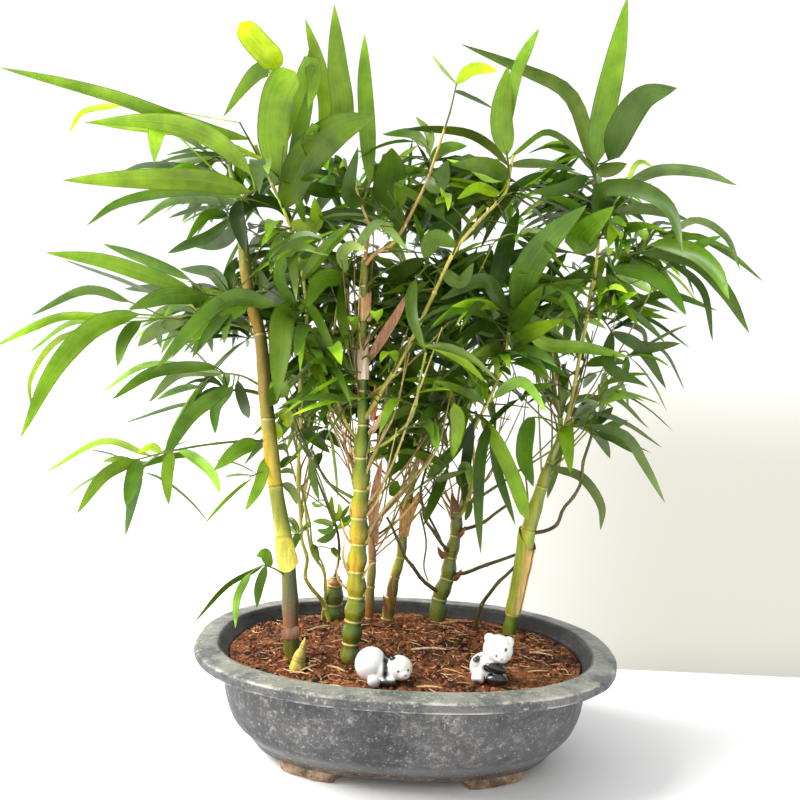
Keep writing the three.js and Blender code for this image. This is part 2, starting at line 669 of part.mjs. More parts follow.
// Each spray is [name, anchor, twig radius, rows of [u, v, depth] for the twig, leaves]. A leaf is
// [visible width, depth of its tip, u1, v1, u2, v2, ...] from the foot of its blade to its tip.
const sprays = [
  ['spray_crown_left', 'cane_slender_left', 1.1, [[-128, 462, -8], [-141, 484, -16], [-152, 502, -20]], [
    [14, -77, -150, 486, -172, 494, -205, 503, -250, 517, -300, 528, -344, 536],
    [11, -30, -138, 500, -128, 528, -137, 541, -152, 527, -167, 501],
    [16, 20, -133, 500, -124, 528, -127, 549, -143, 564, -158, 578],
    [4, -10, -150, 500, -210, 514, -254, 511, -279, 504, -288, 487],
  ]],
  ['spray_crown_broad', 'cane_slender_left', 1.1, [[-115, 436, -4], [-118, 452, -16], [-121, 470, -22]], [
    [24, -60, -122, 454, -125, 492, -121, 528, -109, 544],
    [13, -50, -117, 534, -108, 541, -99, 532, -98, 512],
    [12, 20, -112, 470, -101, 512, -97.5, 567],
    [5, -60, -128, 470, -180, 490, -235, 494, -270, 496],
  ]],
  ['spray_left_long', 'culm_tall_left', 1.3, [[-151, 438, 0], [-146, 444, -20], [-138, 450, -30]], [
    [16, -84, -140, 446, -180, 455, -230, 454, -292, 450],
    [15, -60, -138, 458, -150, 476, -170, 490, -205, 492, -222, 478, -218, 457],
    [8, -40, -150, 446, -180, 448, -215, 444, -250, 433, -272, 415],
    [5, 10, -160, 458, -195, 466, -228, 465, -246, 458],
    [7, 30, -150, 440, -182, 441, -207, 437, -232, 417],
  ]],
  ['spray_left_inner', 'culm_tall_left', 1.2, [[-147, 416, -6], [-154, 424, 8], [-160, 428, 20]], [
    [8, -20, -160, 430, -176, 428, -192, 406],
    [9, 40, -158, 424, -172, 412, -190, 404, -206, 396],
    [12, 60, -152, 418, -165, 407, -187, 403],
    [10, 70, -156, 420, -140, 440, -118, 438, -104, 420],
  ]],
  ['spray_crown_tall', 'cane_slender_left', 1.2, [[-108, 424, -2], [-98, 450, 2], [-86, 474, 6]], [
    [13, 10, -88, 476, -83, 515, -91, 550, -103, 585],
    [18, -30, -77, 470, -71, 508, -76, 550, -80.5, 597],
    [27, -70, -112, 436, -98, 476, -74, 500, -44, 512],
    [12, -50, -94, 404, -89, 425, -90, 446],
    [12, 50, -100, 452, -84, 452, -66, 448],
  ]],
  ['spray_bellied_top', 'branch_top_left', 1.1, [[-52, 441, -14], [-47, 456, -4], [-44, 468, 2]], [
    [13, 12, -45, 458, -50, 500, -54, 540, -55.5, 575],
    [24, -70, -36, 440, -30, 466, -30, 488],
    [9, -52, -62, 414, -64, 450, -58, 487],
    [14, 30, -48, 455, -34, 448, -22, 430, -16, 408],
  ]],
  ['spray_centre_top', 'branch_top_right', 1.0, [[1, 466, -26], [2, 476, -10], [0, 486, 4]], [
    [16, -38, 2, 442, 8, 462, 15, 480],
    [7, 40, 4, 484, 0, 500, -12, 513],
    [8, 60, -2, 490, -14, 500, -38, 498],
    [9, 40, 4, 482, 14, 490, 30, 492],
    [8, -20, -4, 470, -20, 470, -34, 462],
  ]],
  ['spray_centre_tip', 'branch_top_right', 0.9, [[11, 504, -19], [15, 518, -20], [19, 540, -22]], [
    [9, -40, 20, 542, 28, 553, 40, 552, 50, 548],
    [3, 30, 18, 534, 34, 528, 50, 522],
    [2, -40, 17, 545, 8, 552, -2, 562],
  ]],
  ['spray_right_centre', 'cane_main', 1.1, [[65, 468, -14], [63, 482, -18], [60, 496, -20]], [
    [17, -34, 62, 486, 56, 515, 59, 556],
    [9, -60, 66, 498, 66, 550, 73, 568, 82, 586],
    [7, 30, 62, 478, 50, 492, 30, 502, 0, 504, -20, 503],
    [13, -60, 62, 466, 46, 477, 18, 477],
    [6, -40, 62, 462, 48, 468, 34, 476, 14, 481],
    [7, 40, 66, 478, 90, 480, 118, 477],
    [8, -50, 58, 456, 40, 460, 24, 450],
  ]],
  ['spray_right_crown', 'cane_golden_right', 1.2, [[137, 452, 17], [134, 468, 14], [133, 482, 12]], [
    [19, -20, 136, 482, 136, 515, 143, 560, 150.5, 614],
    [24, -40, 142, 484, 158, 520, 173, 545, 185, 549, 194, 541],
    [12, 50, 132, 470, 126, 500, 108, 537, 70, 554, 21, 571],
    [5, 30, 129, 474, 113, 498, 92, 507, 72, 492, 62, 482],
    [11, 0, 134, 477, 146, 479, 158, 484],
    [10, -50, 128, 472, 108, 462, 84, 458],
  ]],
  ['spray_right_upper', 'cane_golden_right', 1.2, [[139, 424, 19], [146, 436, 6], [150, 452, -4]], [
    [11, 30, 150, 460, 168, 472, 190, 479, 225, 480, 246, 466],
    [16, -60, 120, 428, 132, 452, 156, 462, 190, 450, 204, 430, 206, 413],
    [9, 60, 148, 446, 178, 449, 210, 442],
    [22, -70, 112, 400, 124, 424, 150, 450],
    [4, 60, 158, 464, 168, 484, 180, 482],
  ]],
  ['spray_right_drooping', 'cane_golden_right', 1.2, [[138.5, 408, 21], [152, 412, 24], [172, 414, 28]], [
    [12, -20, 178, 414, 214, 411, 242, 388, 265, 354],
    [18, -50, 190, 420, 218, 420, 236, 398, 246, 374],
    [6, 50, 184, 418, 214, 441, 240, 430, 254, 404],
    [6, 90, 186, 416, 214, 428, 244, 416, 273, 396],
    [12, -10, 150, 402, 178, 398, 200, 384, 213, 366],
    [8, 60, 152, 400, 170, 391, 187, 382],
    [4, 70, 170, 418, 184, 437, 200, 438],
    [6, 10, 196, 408, 224, 388, 236, 346],
  ]],
  ['spray_right_low', 'cane_golden_right', 1.1, [[134, 366, 27], [146, 360, 32], [154, 350, 38]], [
    [7, 70, 154, 358, 192, 381, 238, 371],
    [10, 40, 150, 342, 178, 338, 201, 306],
    [5, 90, 158, 356, 178, 352, 184, 336],
    [4, 60, 150, 348, 178, 362, 218, 340],
    [10, 10, 128, 328, 154, 322, 184, 308],
    [3, 100, 168, 344, 196, 336, 216, 306],
  ]],
  ['spray_centre_right', 'cane_right_inner', 1.2, [[71, 346, 12], [76, 356, 0], [80, 366, -8]], [
    [22, -60, 74, 360, 82, 392, 98, 420, 128, 450],
    [13, -70, 72, 336, 88, 346, 114, 358],
    [14, -40, 74, 346, 84, 364, 97, 385],
    [12, -44, 68, 362, 50, 386, 14, 369],
    [11, 30, 84, 352, 100, 338, 134, 336, 171, 330],
    [15, 50, 62, 376, 64, 410, 74, 444],
    [12, 40, 62, 346, 48, 352, 34, 334],
  ]],
  ['spray_centre', 'cane_main', 1.1, [[17, 392, -31], [8, 396, -26], [0, 402, -20]], [
    [14, -20, -6, 408, 8, 418, 27, 412],
    [9, -60, -6, 384, -8, 358, 5, 326],
    [12, 20, 2, 408, 10, 424, 36, 444],
    [12, 30, -2, 398, -20, 388, -34, 368],
    [10, -50, 12, 394, 30, 384, 40, 400],
  ]],
  ['spray_left_middle', 'culm_tall_left', 1.2, [[-136, 358, -14], [-152, 362, -22], [-172, 362, -28]], [
    [12, -60, -184, 366, -222, 378, -260, 388, -304, 392],
    [8, 10, -188, 376, -224, 391, -258, 401],
    [3, 30, -200, 360, -244, 374, -290, 387],
    [8, 40, -178, 360, -210, 367, -240, 366],
    [13, -70, -172, 356, -205, 362, -236, 350],
    [10, 60, -158, 366, -170, 382, -196, 384],
    [9, 50, -150, 362, -156, 380, -150, 396],
  ]],
  ['spray_left_big', 'culm_tall_left', 1.3, [[-131, 340, -16], [-165, 342, -30], [-205, 344, -44]], [
    [14, -110, -228, 346, -262, 335, -294, 300, -322, 240],
    [7, -20, -236, 356, -270, 364, -315, 341],
    [6, -80, -240, 343, -290, 342, -316, 331, -343, 315],
    [4, -30, -236, 340, -282, 338, -316, 311],
    [4, -90, -240, 338, -292, 324, -315, 290, -313, 266],
    [9, -90, -226, 340, -239, 326, -244, 303],
    [11, 10, -190, 340, -214, 334, -228, 320],
  ]],
  ['spray_left_lower', 'culm_tall_left', 1.2, [[-124, 292, -20], [-142, 300, -10], [-158, 302, 0]], [
    [9, -60, -164, 306, -214, 300, -248, 276],
    [9, 20, -164, 303, -194, 300, -218, 275],
    [3, 50, -160, 286, -200, 273, -238, 257],
    [12, -40, -154, 292, -184, 266, -206, 226],
    [9, 30, -150, 292, -163, 274, -163, 252],
    [5, -50, -158, 304, -220, 306, -257, 281],
    [9, 60, -146, 296, -140, 276, -136, 266],
  ]],
  ['spray_left_hanging', 'culm_tall_left', 1.2, [[-118, 248, -24], [-150, 246, -34], [-192, 238, -46], [-226, 228, -56]], [
    [9, -90, -232, 226, -252, 214, -274, 181],
    [12, -80, -224, 224, -229, 210, -234, 189],
    [5, -60, -216, 238, -252, 243, -302, 213],
    [9, -60, -198, 236, -201, 218, -199, 192],
    [8, -10, -192, 232, -178, 230, -164, 218, -157, 203],
    [12, -50, -128, 245, -144, 240, -163, 222],
    [9, -46, -122, 234, -125, 214, -136, 190],
    [6, -66, -206, 232, -214, 240, -226, 234],
  ]],
  ['spray_pale_middle', 'cane_slender_left', 1.1, [[-93, 352, 6], [-101, 356, -14], [-106, 356, -26]], [
    [19, -80, -104, 352, -118, 338, -119, 306, -107, 270],
    [14, -70, -118, 358, -150, 363, -180, 342, -213, 302],
    [9, -60, -98, 362, -116, 382, -104, 406, -76, 400],
    [10, 30, -108, 360, -126, 372, -138, 396],
  ]],
  ['spray_fan_top', 'branch_fan', 1.0, [[-66, 374, 4], [-62, 386, -12], [-58, 401, -20]], [
    [9, -50, -65, 388, -66, 402, -58, 409, -46, 405],
    [7, -44, -60, 404, -38, 427, -11, 405],
    [14, -60, -64, 384, -82, 380, -92, 358],
    [8, -50, -66, 378, -64, 350, -58, 325],
    [11, 40, -62, 392, -46, 380, -26, 384],
  ]],
  ['spray_inner_right', 'cane_right_inner', 1.1, [[52, 277, 28], [44, 280, 20], [38, 284, 14]], [
    [13, -14, 37, 286, 34, 266, 31, 241],
    [7, 50, 50, 276, 34, 250, 14, 222],
    [9, -40, 58, 272, 54, 246, 54, 204, 58, 164],
    [8, 20, 60, 268, 68, 232, 85, 189],
    [9, 60, 46, 270, 42, 234, 42, 204],
    [12, -60, 56, 276, 68, 262, 82, 232, 97, 196],
    [9, -30, 62, 292, 84, 306, 106, 282],
  ]],
  ['spray_sheathed_top', 'cane_golden_right', 1.1, [[121, 271, 46], [130, 272, 32], [141, 274, 26]], [
    [13, 0, 112, 282, 122, 266, 128, 233],
    [8, -20, 140, 271, 170, 266, 188, 242, 206, 213],
    [7, 30, 146, 268, 162, 262, 179, 252],
    [5, 60, 132, 284, 156, 298, 189, 273],
    [4, 80, 140, 282, 168, 277, 201, 258],
    [9, 60, 141, 270, 150, 280, 159, 289],
    [14, 10, 96, 278, 89, 248, 98, 221],
    [8, 70, 118, 262, 114, 236, 110, 212],
    [8, 20, 110, 240, 136, 231, 154, 208, 155, 188],
  ]],
  ['spray_left_foot', 'culm_tall_left', 0.9, [[-99.5, 136, -30], [-110, 143, -40], [-120, 146, -46]], [
    [8, -56, -112, 152, -119, 156, -126, 153],
    [7, -60, -118, 143, -123, 128, -124, 110],
    [6, -62, -130, 139, -141, 118, -141, 92],
    [4, -20, -122, 144, -150, 128, -175, 95],
  ]],
];

const leafTrials = [0, 3, -3, 6, -6, 10, -10, 15, -15, 21, -21, 28, -28, 36, -36];
let dropped = 0;

// Two leaves of one spray never start from the very same point of the twig.
function leafPoints(twig, leaf, shift, index) {
  const [, tipDepth, ...flat] = leaf;
  const place = nearestPlace(twig, flat[0], flat[1]);
  const start = place.centre.addScaledVector(place.tangent, -0.05 * index);
  const pairs = [];
  for (let i = 0; i < flat.length; i += 2) {
    pairs.push([flat[i], flat[i + 1]]);
  }
  const points = [start];
  pairs.forEach(([u, v], i) => {
    const t = (i + 0.25) / (pairs.length - 0.75);
    points.push(spot(u, v, start.y + (tipDepth - start.y) * t + shift * Math.min(1, 2.5 * t)));
  });
  const stalk = points[1].clone().sub(start);
  const onward = points[2].clone().sub(points[1]);
  if (stalk.length() < 8 || stalk.normalize().dot(onward.normalize()) < -0.1) {
    points.splice(1, 1);
  }
  return points;
}

for (const [name, anchor, radius, rows, leaves] of sprays) {
  const twig = growStem(name, anchor, radius, radius * 0.7, rows, 4);
  let spray = twig.solid;
  for (const [index, leaf] of leaves.entries()) {
    const visible = leaf[0];
    const width = Math.max(visible, 8);
    const lean = Math.acos(visible / width);
    const bands = leaf.length > 9 ? 6 : 4;
    let placed = false;
    for (const shift of leafTrials) {
      const solid = blade(leafPoints(twig, leaf, shift, index), width, lean, bands);
      if (sharedVolume(solid) < 0.001) {
        const joined = spray.add(solid);
        if (joined.decompose().length === 1) {
          spray = joined;
          placed = true;
          break;
        }
      }
    }
    if (!placed) {
      dropped += 1;
      console.error(`left out a leaf of ${name}: ${leaf.slice(0, 4)}`);
    }
  }
  addPart(name, spray.simplify(0.01), 'leaf');
}

if (dropped > 12) {
  throw new Error(`${dropped} leaves found no room`);
}

export default group;
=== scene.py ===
# Buddha belly bamboo in an oval bonsai pot, with two panda figurines on its soil.
# Shapes are worked out in millimetres, Z up, and put into the meshes in metres.
import math
import bpy
import numpy as np
from mathutils import Matrix, Vector


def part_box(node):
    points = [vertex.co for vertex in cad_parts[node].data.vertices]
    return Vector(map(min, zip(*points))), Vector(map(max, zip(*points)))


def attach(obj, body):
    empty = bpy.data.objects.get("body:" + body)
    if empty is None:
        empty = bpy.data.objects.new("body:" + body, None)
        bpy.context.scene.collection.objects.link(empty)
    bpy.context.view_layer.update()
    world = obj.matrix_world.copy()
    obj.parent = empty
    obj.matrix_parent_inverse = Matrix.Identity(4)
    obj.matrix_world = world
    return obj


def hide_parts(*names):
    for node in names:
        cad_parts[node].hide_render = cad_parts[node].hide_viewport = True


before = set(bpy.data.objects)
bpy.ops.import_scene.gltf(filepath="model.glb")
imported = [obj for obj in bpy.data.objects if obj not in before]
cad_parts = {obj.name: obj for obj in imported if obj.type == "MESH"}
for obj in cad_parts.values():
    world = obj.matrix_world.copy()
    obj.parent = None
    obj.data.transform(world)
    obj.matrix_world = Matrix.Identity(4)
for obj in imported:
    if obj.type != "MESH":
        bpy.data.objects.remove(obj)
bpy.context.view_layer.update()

rng = np.random.default_rng(41)
metres, millimetres = 0.001, 1000
print("frame loaded")

# The camera stands at the viewpoint and looks along +Y, a little down and a little turned.
camera = {"viewpoint": (-14.0, -729.0, 332.0), "pitch": 0.062, "roll": 0.047, "focalPixels": 900.0,
          "framePixels": 800.0, "sensor": 36, "nearest": 0.02, "farthest": 30}
viewpoint = np.array(camera["viewpoint"])


def makeCamera():
    # Look and up lie in an upright plane, and roll turns up and right round the line of sight.
    pitch, roll = camera["pitch"], camera["roll"]
    look = Vector((0, math.cos(pitch), -math.sin(pitch)))
    up = Vector((0, math.sin(pitch), math.cos(pitch)))
    right = Vector((1, 0, 0))
    turnedRight = right * math.cos(roll) + up * math.sin(roll)
    turnedUp = up * math.cos(roll) - right * math.sin(roll)
    data = bpy.data.cameras.new("viewCamera")
    data.sensor_width = camera["sensor"]
    data.lens = camera["sensor"] * camera["focalPixels"] / camera["framePixels"]
    data.clip_start, data.clip_end = camera["nearest"], camera["farthest"]
    holder = bpy.data.objects.new("viewCamera", data)
    turn = Matrix((turnedRight, turnedUp, -look)).transposed().to_4x4()
    holder.matrix_world = Matrix.Translation(Vector(camera["viewpoint"]) * metres) @ turn
    bpy.context.scene.collection.objects.link(holder)
    bpy.context.scene.camera = holder


makeCamera()

def spots(rows):
    # (u, v, depth): a point of the upright plane through the pot's length, moved along the line
    # from the viewpoint until it lies depth behind that plane.
    rows = np.asarray(rows, float).reshape(-1, 3)
    reach = 1 - rows[:, 2:3] / viewpoint[1]
    flat = viewpoint[[0, 2]] + (rows[:, :2] - viewpoint[[0, 2]]) * reach
    return np.column_stack([flat[:, 0], rows[:, 2], flat[:, 1]])


def seenAt(points):
    # The way back: where a point shows on the upright plane through the pot's length.
    reach = (points[..., 1] - viewpoint[1]) / -viewpoint[1]
    return np.stack([viewpoint[k] + (points[..., k] - viewpoint[k]) / reach for k in (0, 2)], -1)


def curveAt(points, t):
    # Catmull-Rom with centripetal knots: between two points, the cubic whose end slopes come from
    # the neighbours, with knot distances that are the square root of the chord.
    points = np.asarray(points, float)
    padded = np.vstack([2 * points[:1] - points[1:2], points, 2 * points[-1:] - points[-2:-1]])
    last = len(points) - 1
    s = np.clip(np.asarray(t, float), 0, 1) * last
    i = np.minimum(s.astype(int), last - 1)
    w = (s - i)[:, None]
    a, b, c, d = padded[i], padded[i + 1], padded[i + 2], padded[i + 3]
    ka, kb, kc = [np.maximum(((y - x) ** 2).sum(1), 1e-8)[:, None] ** 0.25 for x, y in ((a, b), (b, c), (c, d))]
    slopeB = ((b - a) / ka - (c - a) / (ka + kb) + (c - b) / kb) * kb
    slopeC = ((c - b) / kb - (d - b) / (kb + kc) + (d - c) / kc) * kb
    return b + slopeB * w + (3 * (c - b) - 2 * slopeB - slopeC) * w**2 + (2 * (b - c) + slopeB + slopeC) * w**3


def unit(v):
    # A vector over its own length.
    return v / np.maximum(np.linalg.norm(v, axis=-1, keepdims=True), 1e-9)


def lengthOf(points):
    # The sum of the distances from point to point.
    return np.linalg.norm(np.diff(points, axis=0), axis=1).sum()


def evenly(count, start=0, end=1):
    # Equal steps from start to end, both included.
    return np.linspace(start, end, count)


def circle(sides):
    # The angles of a ring of evenly spaced corners.
    return np.linspace(0, 2 * np.pi, sides, endpoint=False)


def bell(x, width):
    # One at zero, falling to either side: e to the power of minus the square of x over width.
    return np.exp(-((x / width) ** 2))


def blend(a, b, share):
    # The mean of a and b, where b weighs its share and a the rest.
    return a * (1 - share) + b * share


def framesAlong(centres):
    # Tangents by central differences, and a side direction carried from one to the next by taking
    # away its part along the tangent. It starts as the front, or as the right on a line to the front.
    tangents = unit(np.gradient(centres, axis=0))
    side = np.array((0.0, -1.0, 0.0))
    if abs(tangents[0] @ side) > 0.9:
        side = np.array((1.0, 0.0, 0.0))
    sides = []
    for tangent in tangents:
        side = side - tangent * (tangent @ side)
        side = side / np.linalg.norm(side)
        sides.append(side)
    sides = np.array(sides)
    return tangents, sides, np.cross(tangents, sides)


fullTurn = 6.28  # rounded, for waves and phases


def wobble(points, scale, seed, octaves=3):
    # A smooth noise from -1 to 1: sines along random directions, each octave twice as fine and half as strong.
    source = np.random.default_rng(seed)
    total = np.zeros(points.shape[:-1])
    strength, reach = 1.0, 0.0
    for _ in range(octaves):
        for _ in range(5):
            direction = unit(source.normal(size=3)) / scale * fullTurn * source.uniform(0.6, 1.4)
            total += strength * np.sin(points @ direction + source.uniform(0, fullTurn))
        reach += strength * 2.2
        strength, scale = strength * 0.5, scale * 0.5
    return np.clip(total / reach, -1, 1)


def linear(*rgb):
    # Screen values from 0 to 255 to scene-linear light: ((c + 0.055) / 1.055) to the power 2.4.
    c = np.array(rgb, float) / 255
    return np.where(c < 0.04045, c / 12.92, ((c + 0.055) / 1.055) ** 2.4)


def gridShell(rows, tint, around=None, along=None):
    # A closed skin over rings of points: rows[i][j] is joined to its four neighbours, the rings
    # close on themselves, and the first and last ring close to their middles.
    n, m = rows.shape[:2]
    around = evenly(m + 1) if around is None else np.asarray(around, float)
    along = evenly(n) if along is None else np.asarray(along, float)
    verts = np.vstack([rows.reshape(-1, 3), rows[0].mean(0), rows[-1].mean(0)])
    i, j = (x.ravel() for x in np.meshgrid(np.arange(n - 1), np.arange(m), indexing="ij"))
    k = (j + 1) % m
    quads = np.stack([i * m + j, i * m + k, (i + 1) * m + k, (i + 1) * m + j], 1)
    corners = ((0, 0), (1, 0), (1, 1), (0, 1))
    quadUv = np.stack([np.stack([around[j + a], along[i + b]], -1) for a, b in corners], 1)
    j = np.arange(m)
    k = (j + 1) % m
    tris = np.vstack([
        np.stack([np.full(m, n * m), k, j], 1),
        np.stack([np.full(m, n * m + 1), (n - 1) * m + j, (n - 1) * m + k], 1),
    ])
    left, right, middle = around[j], around[j + 1], (around[j] + around[j + 1]) / 2
    triUv = np.vstack([np.stack([np.stack([u, np.full(m, level)], -1) for u in order], 1)
                       for level, order in ((along[0], (middle, right, left)), (along[-1], (middle, left, right)))])
    tint = np.broadcast_to(np.asarray(tint, float), (n, m, 3)).reshape(-1, 3)
    tint = np.vstack([tint, tint[:m].mean(0), tint[-m:].mean(0)])
    # The faces are turned round where the volume they enclose comes out negative.
    a, b, c, d = (verts[quads[:, x]] for x in range(4))
    e, f, g = (verts[tris[:, x]] for x in range(3))
    volume = (np.cross(b, c) * a).sum() + (np.cross(c, d) * a).sum() + (np.cross(f, g) * e).sum()
    if volume < 0:
        quads, quadUv, tris, triUv = quads[:, ::-1], quadUv[:, ::-1], tris[:, ::-1], triUv[:, ::-1]
    return {"verts": verts, "quads": quads, "quadUv": quadUv, "tris": tris, "triUv": triUv, "tint": tint}


def joined(shells):
    # Several shells as one: the points are stacked, and the faces' numbers move on with them.
    starts = np.cumsum([0] + [len(s["verts"]) for s in shells[:-1]])
    whole = {key: np.concatenate([s[key] for s in shells]) for key in ("verts", "quadUv", "triUv", "tint")}
    for key in ("quads", "tris"):
        whole[key] = np.concatenate([s[key] + start for s, start in zip(shells, starts)])
    return whole


def paintPoints(mesh, colours):
    # A colour for each point, in the attribute that the materials read.
    tint = mesh.color_attributes.new("tint", "FLOAT_COLOR", "POINT")
    tint.data.foreach_set("color", np.column_stack([colours, np.ones(len(colours))]).ravel())


def newObject(name, mesh):
    thing = bpy.data.objects.new(name, mesh)
    bpy.context.scene.collection.objects.link(thing)
    return thing


def newMesh(name, shell):
    # The shell's points in metres, with its four-sided faces first.
    mesh = bpy.data.meshes.new(name)
    mesh.from_pydata((shell["verts"] * metres).tolist(), [], shell["quads"].tolist() + shell["tris"].tolist())
    return mesh


def makePiece(name, shells, material, nodes=(), sharp=50):
    # The shells as one mesh at the origin, in metres, with its own pattern places and tint, which
    # then rides on the body and stands for its nodes.
    whole = joined(shells)
    mesh = newMesh(name, whole)
    uv = mesh.uv_layers.new(name="surface")
    uv.data.foreach_set("uv", np.concatenate([whole[key].reshape(-1, 2) for key in ("quadUv", "triUv")]).ravel())
    paintPoints(mesh, whole["tint"])
    mesh.polygons.foreach_set("use_smooth", np.ones(len(mesh.polygons), bool))
    if sharp:
        mesh.set_sharp_from_angle(angle=math.radians(sharp))
    mesh.validate()
    piece = newObject(name, mesh)
    mesh.materials.append(material)
    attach(piece, "root")
    if nodes:
        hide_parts(*nodes)
    return piece


def ringsAlong(centres, radii, sides):
    # Rings in the plane across the line: the side direction times cosine and the other times sine.
    _, side, across = framesAlong(centres)
    angle = circle(sides)
    spread = side[:, None] * np.cos(angle)[:, None] + across[:, None] * np.sin(angle)[:, None]
    return centres[:, None] + radii[..., None] * spread, spread


def tube(points, t, radii, tint, sides=8):
    # Rings of a given radius along the curve.
    radii, tint = np.asarray(radii, float), np.asarray(tint, float)
    rows, _ = ringsAlong(curveAt(points, t), radii[:, None] if radii.ndim == 1 else radii, sides)
    return gridShell(rows, tint[:, None] if tint.ndim == 2 else tint, along=t)


class Look:
    # A node tree in the making. A colour is a socket or a scene-linear triple, and place is where a
    # point of the piece lies, in metres.
    def __init__(self, owner, coordinates="Object"):
        owner.use_nodes = True
        self.owner, self.tree = owner, owner.node_tree
        self.tree.nodes.clear()
        self.place = self.add("TexCoord").outputs[coordinates]

    def add(self, kind, settings=None, **inputs):
        # A node with its settings and inputs: i0 is the first input, other names are their own.
        node = self.tree.nodes.new("ShaderNode" + kind)
        for key, value in (settings or {}).items():
            setattr(node, key, value)
        for key, value in inputs.items():
            numbered = key[0] == "i" and key[1:].isdigit()
            socket = node.inputs[int(key[1:])] if numbered else node.inputs[key.replace("_", " ")]
            if isinstance(value, bpy.types.NodeSocket):
                self.tree.links.new(value, socket)
            else:
                socket.default_value = value
        return node

    def noise(self, scale, detail=4.0, roughness=0.55, stretch=None, distortion=0.0, place=None):
        # From 0 to 1 and finer with scale; stretch draws it out where it is below 1.
        place = place or self.place
        if stretch:
            place = self.add("Mapping", Vector=place, Scale=stretch).outputs[0]
        return self.add("TexNoise", Vector=place, Scale=scale, Detail=detail, Roughness=roughness,
                        Distortion=distortion).outputs["Fac"]

    def ramp(self, value, low, high, toLow=0.0, toHigh=1.0):
        # A smooth step from toLow to toHigh while the value goes from low to high.
        return self.add("MapRange", {"interpolation_type": "SMOOTHSTEP"}, Value=value, i1=low, i2=high, i3=toLow,
                        i4=toHigh).outputs[0]

    def maths(self, operation, a, b=0.0):
        return self.add("Math", {"operation": operation}, i0=a, i1=b).outputs[0]

    def times(self, a, b):
        return self.maths("MULTIPLY", a, b)

    def plus(self, a, b):
        return self.maths("ADD", a, b)

    def mix(self, share, a, b, kind="MIX"):
        # Socket 0 is the share of b, and sockets 6 and 7 are the two colours.
        a, b = (c if isinstance(c, bpy.types.NodeSocket) else (*c, 1.0) for c in (a, b))
        settings = {"data_type": "RGBA", "blend_type": kind, "clamp_factor": True}
        return self.add("Mix", settings, i0=share, i6=a, i7=b).outputs[2]

    def toned(self, colour, *factors):
        # The colour times a factor for red, green and blue.
        return self.mix(1.0, colour, factors, "MULTIPLY")

    def cover(self, base, colour, value, low, high, share=1.0):
        # Colour over the base where value runs from low to high, and share of it at most.
        return self.mix(self.times(self.ramp(value, low, high), share), base, colour)

    def layers(self, base, *rows):
        # Each row is what cover takes after its base, and lies over the row before it.
        for row in rows:
            base = self.cover(base, *row)
        return base

    def bump(self, height, strength, distance=0.0005):
        return self.add("Bump", Height=height, Strength=strength, Distance=distance).outputs[0]

    def tint(self):
        return self.add("Attribute", {"attribute_name": "tint"}).outputs["Color"]

    def parts(self, vector):
        return self.add("SeparateXYZ", Vector=vector).outputs

    def surface(self):
        return self.parts(self.add("UVMap", {"uv_map": "surface"}).outputs[0])

    def skin(self, colour, roughness, **more):
        return self.add("BsdfPrincipled", Base_Color=colour, Roughness=roughness, **more).outputs[0]

    def seenThrough(self, share, skin, **light):
        glow = self.add("BsdfTranslucent", **light).outputs[0]
        return self.add("MixShader", i0=share, i1=skin, i2=glow).outputs[0]

    def finish(self, surface, kind="OutputMaterial"):
        self.tree.links.new(surface, self.add(kind).inputs["Surface"])
        return self.owner


def newLook(name):
    return Look(bpy.data.materials.new(name))


leafLook = {"veinsAcross": 34.0, "veinsAlong": 1.6, "through": 0.48, "roughness": 0.34, "burnt": (176, 160, 80)}


def leafMaterial():
    # The leaf's tint with fine veins along it, cloudy lighter and darker places, a faint rib and
    # darker edges; light from behind comes through yellower.
    look = newLook("bambooLeaf")
    surface, colour = look.surface(), look.tint()
    fromRib = look.maths("ABSOLUTE", look.maths("SUBTRACT", surface[0], 0.5))
    lines = look.add("CombineXYZ", X=look.times(surface[0], leafLook["veinsAcross"]),
                     Y=look.times(surface[1], leafLook["veinsAlong"])).outputs[0]
    drift = look.add("VectorMath", {"operation": "MULTIPLY"}, i0=look.place, i1=(9.0, 9.0, 9.0)).outputs[0]
    lines = look.add("VectorMath", {"operation": "ADD"}, i0=lines, i1=drift).outputs[0]
    veins = look.noise(1.0, 3.0, 0.6, place=lines)
    blotch = look.noise(34.0, 5.0, 0.6)
    fine = look.noise(300.0, 4.0, 0.6)
    dark = look.toned(colour, 0.62, 0.70, 0.5)
    light = look.toned(colour, 1.3, 1.2, 1.15)
    base = look.layers(dark, (light, blotch, 0.3, 0.7), (light, veins, 0.5, 0.68, 0.55),
                       (dark, veins, 0.48, 0.34, 0.45), (dark, fine, 0.56, 0.72, 0.22))
    rib = look.ramp(fromRib, 0.006, 0.03, 1.0, 0.0)
    base = look.mix(look.times(rib, 0.4), base, light)
    base = look.cover(base, look.toned(dark, 0.8, 0.8, 0.8), fromRib, 0.445, 0.475, 0.7)
    burnt = look.times(look.ramp(fromRib, 0.47, 0.5), look.ramp(blotch, 0.5, 0.66))
    base = look.mix(look.times(burnt, 0.45), base, linear(*leafLook["burnt"]))
    normal = look.bump(look.plus(veins, look.times(rib, -0.5)), 0.3, 0.0004)
    skin = look.skin(base, leafLook["roughness"], Normal=normal, Coat_Weight=0.25, Coat_Roughness=0.25)
    glow = look.toned(base, 1.5, 1.55, 0.6)
    return look.finish(look.seenThrough(leafLook["through"], skin, Color=glow, Normal=normal))


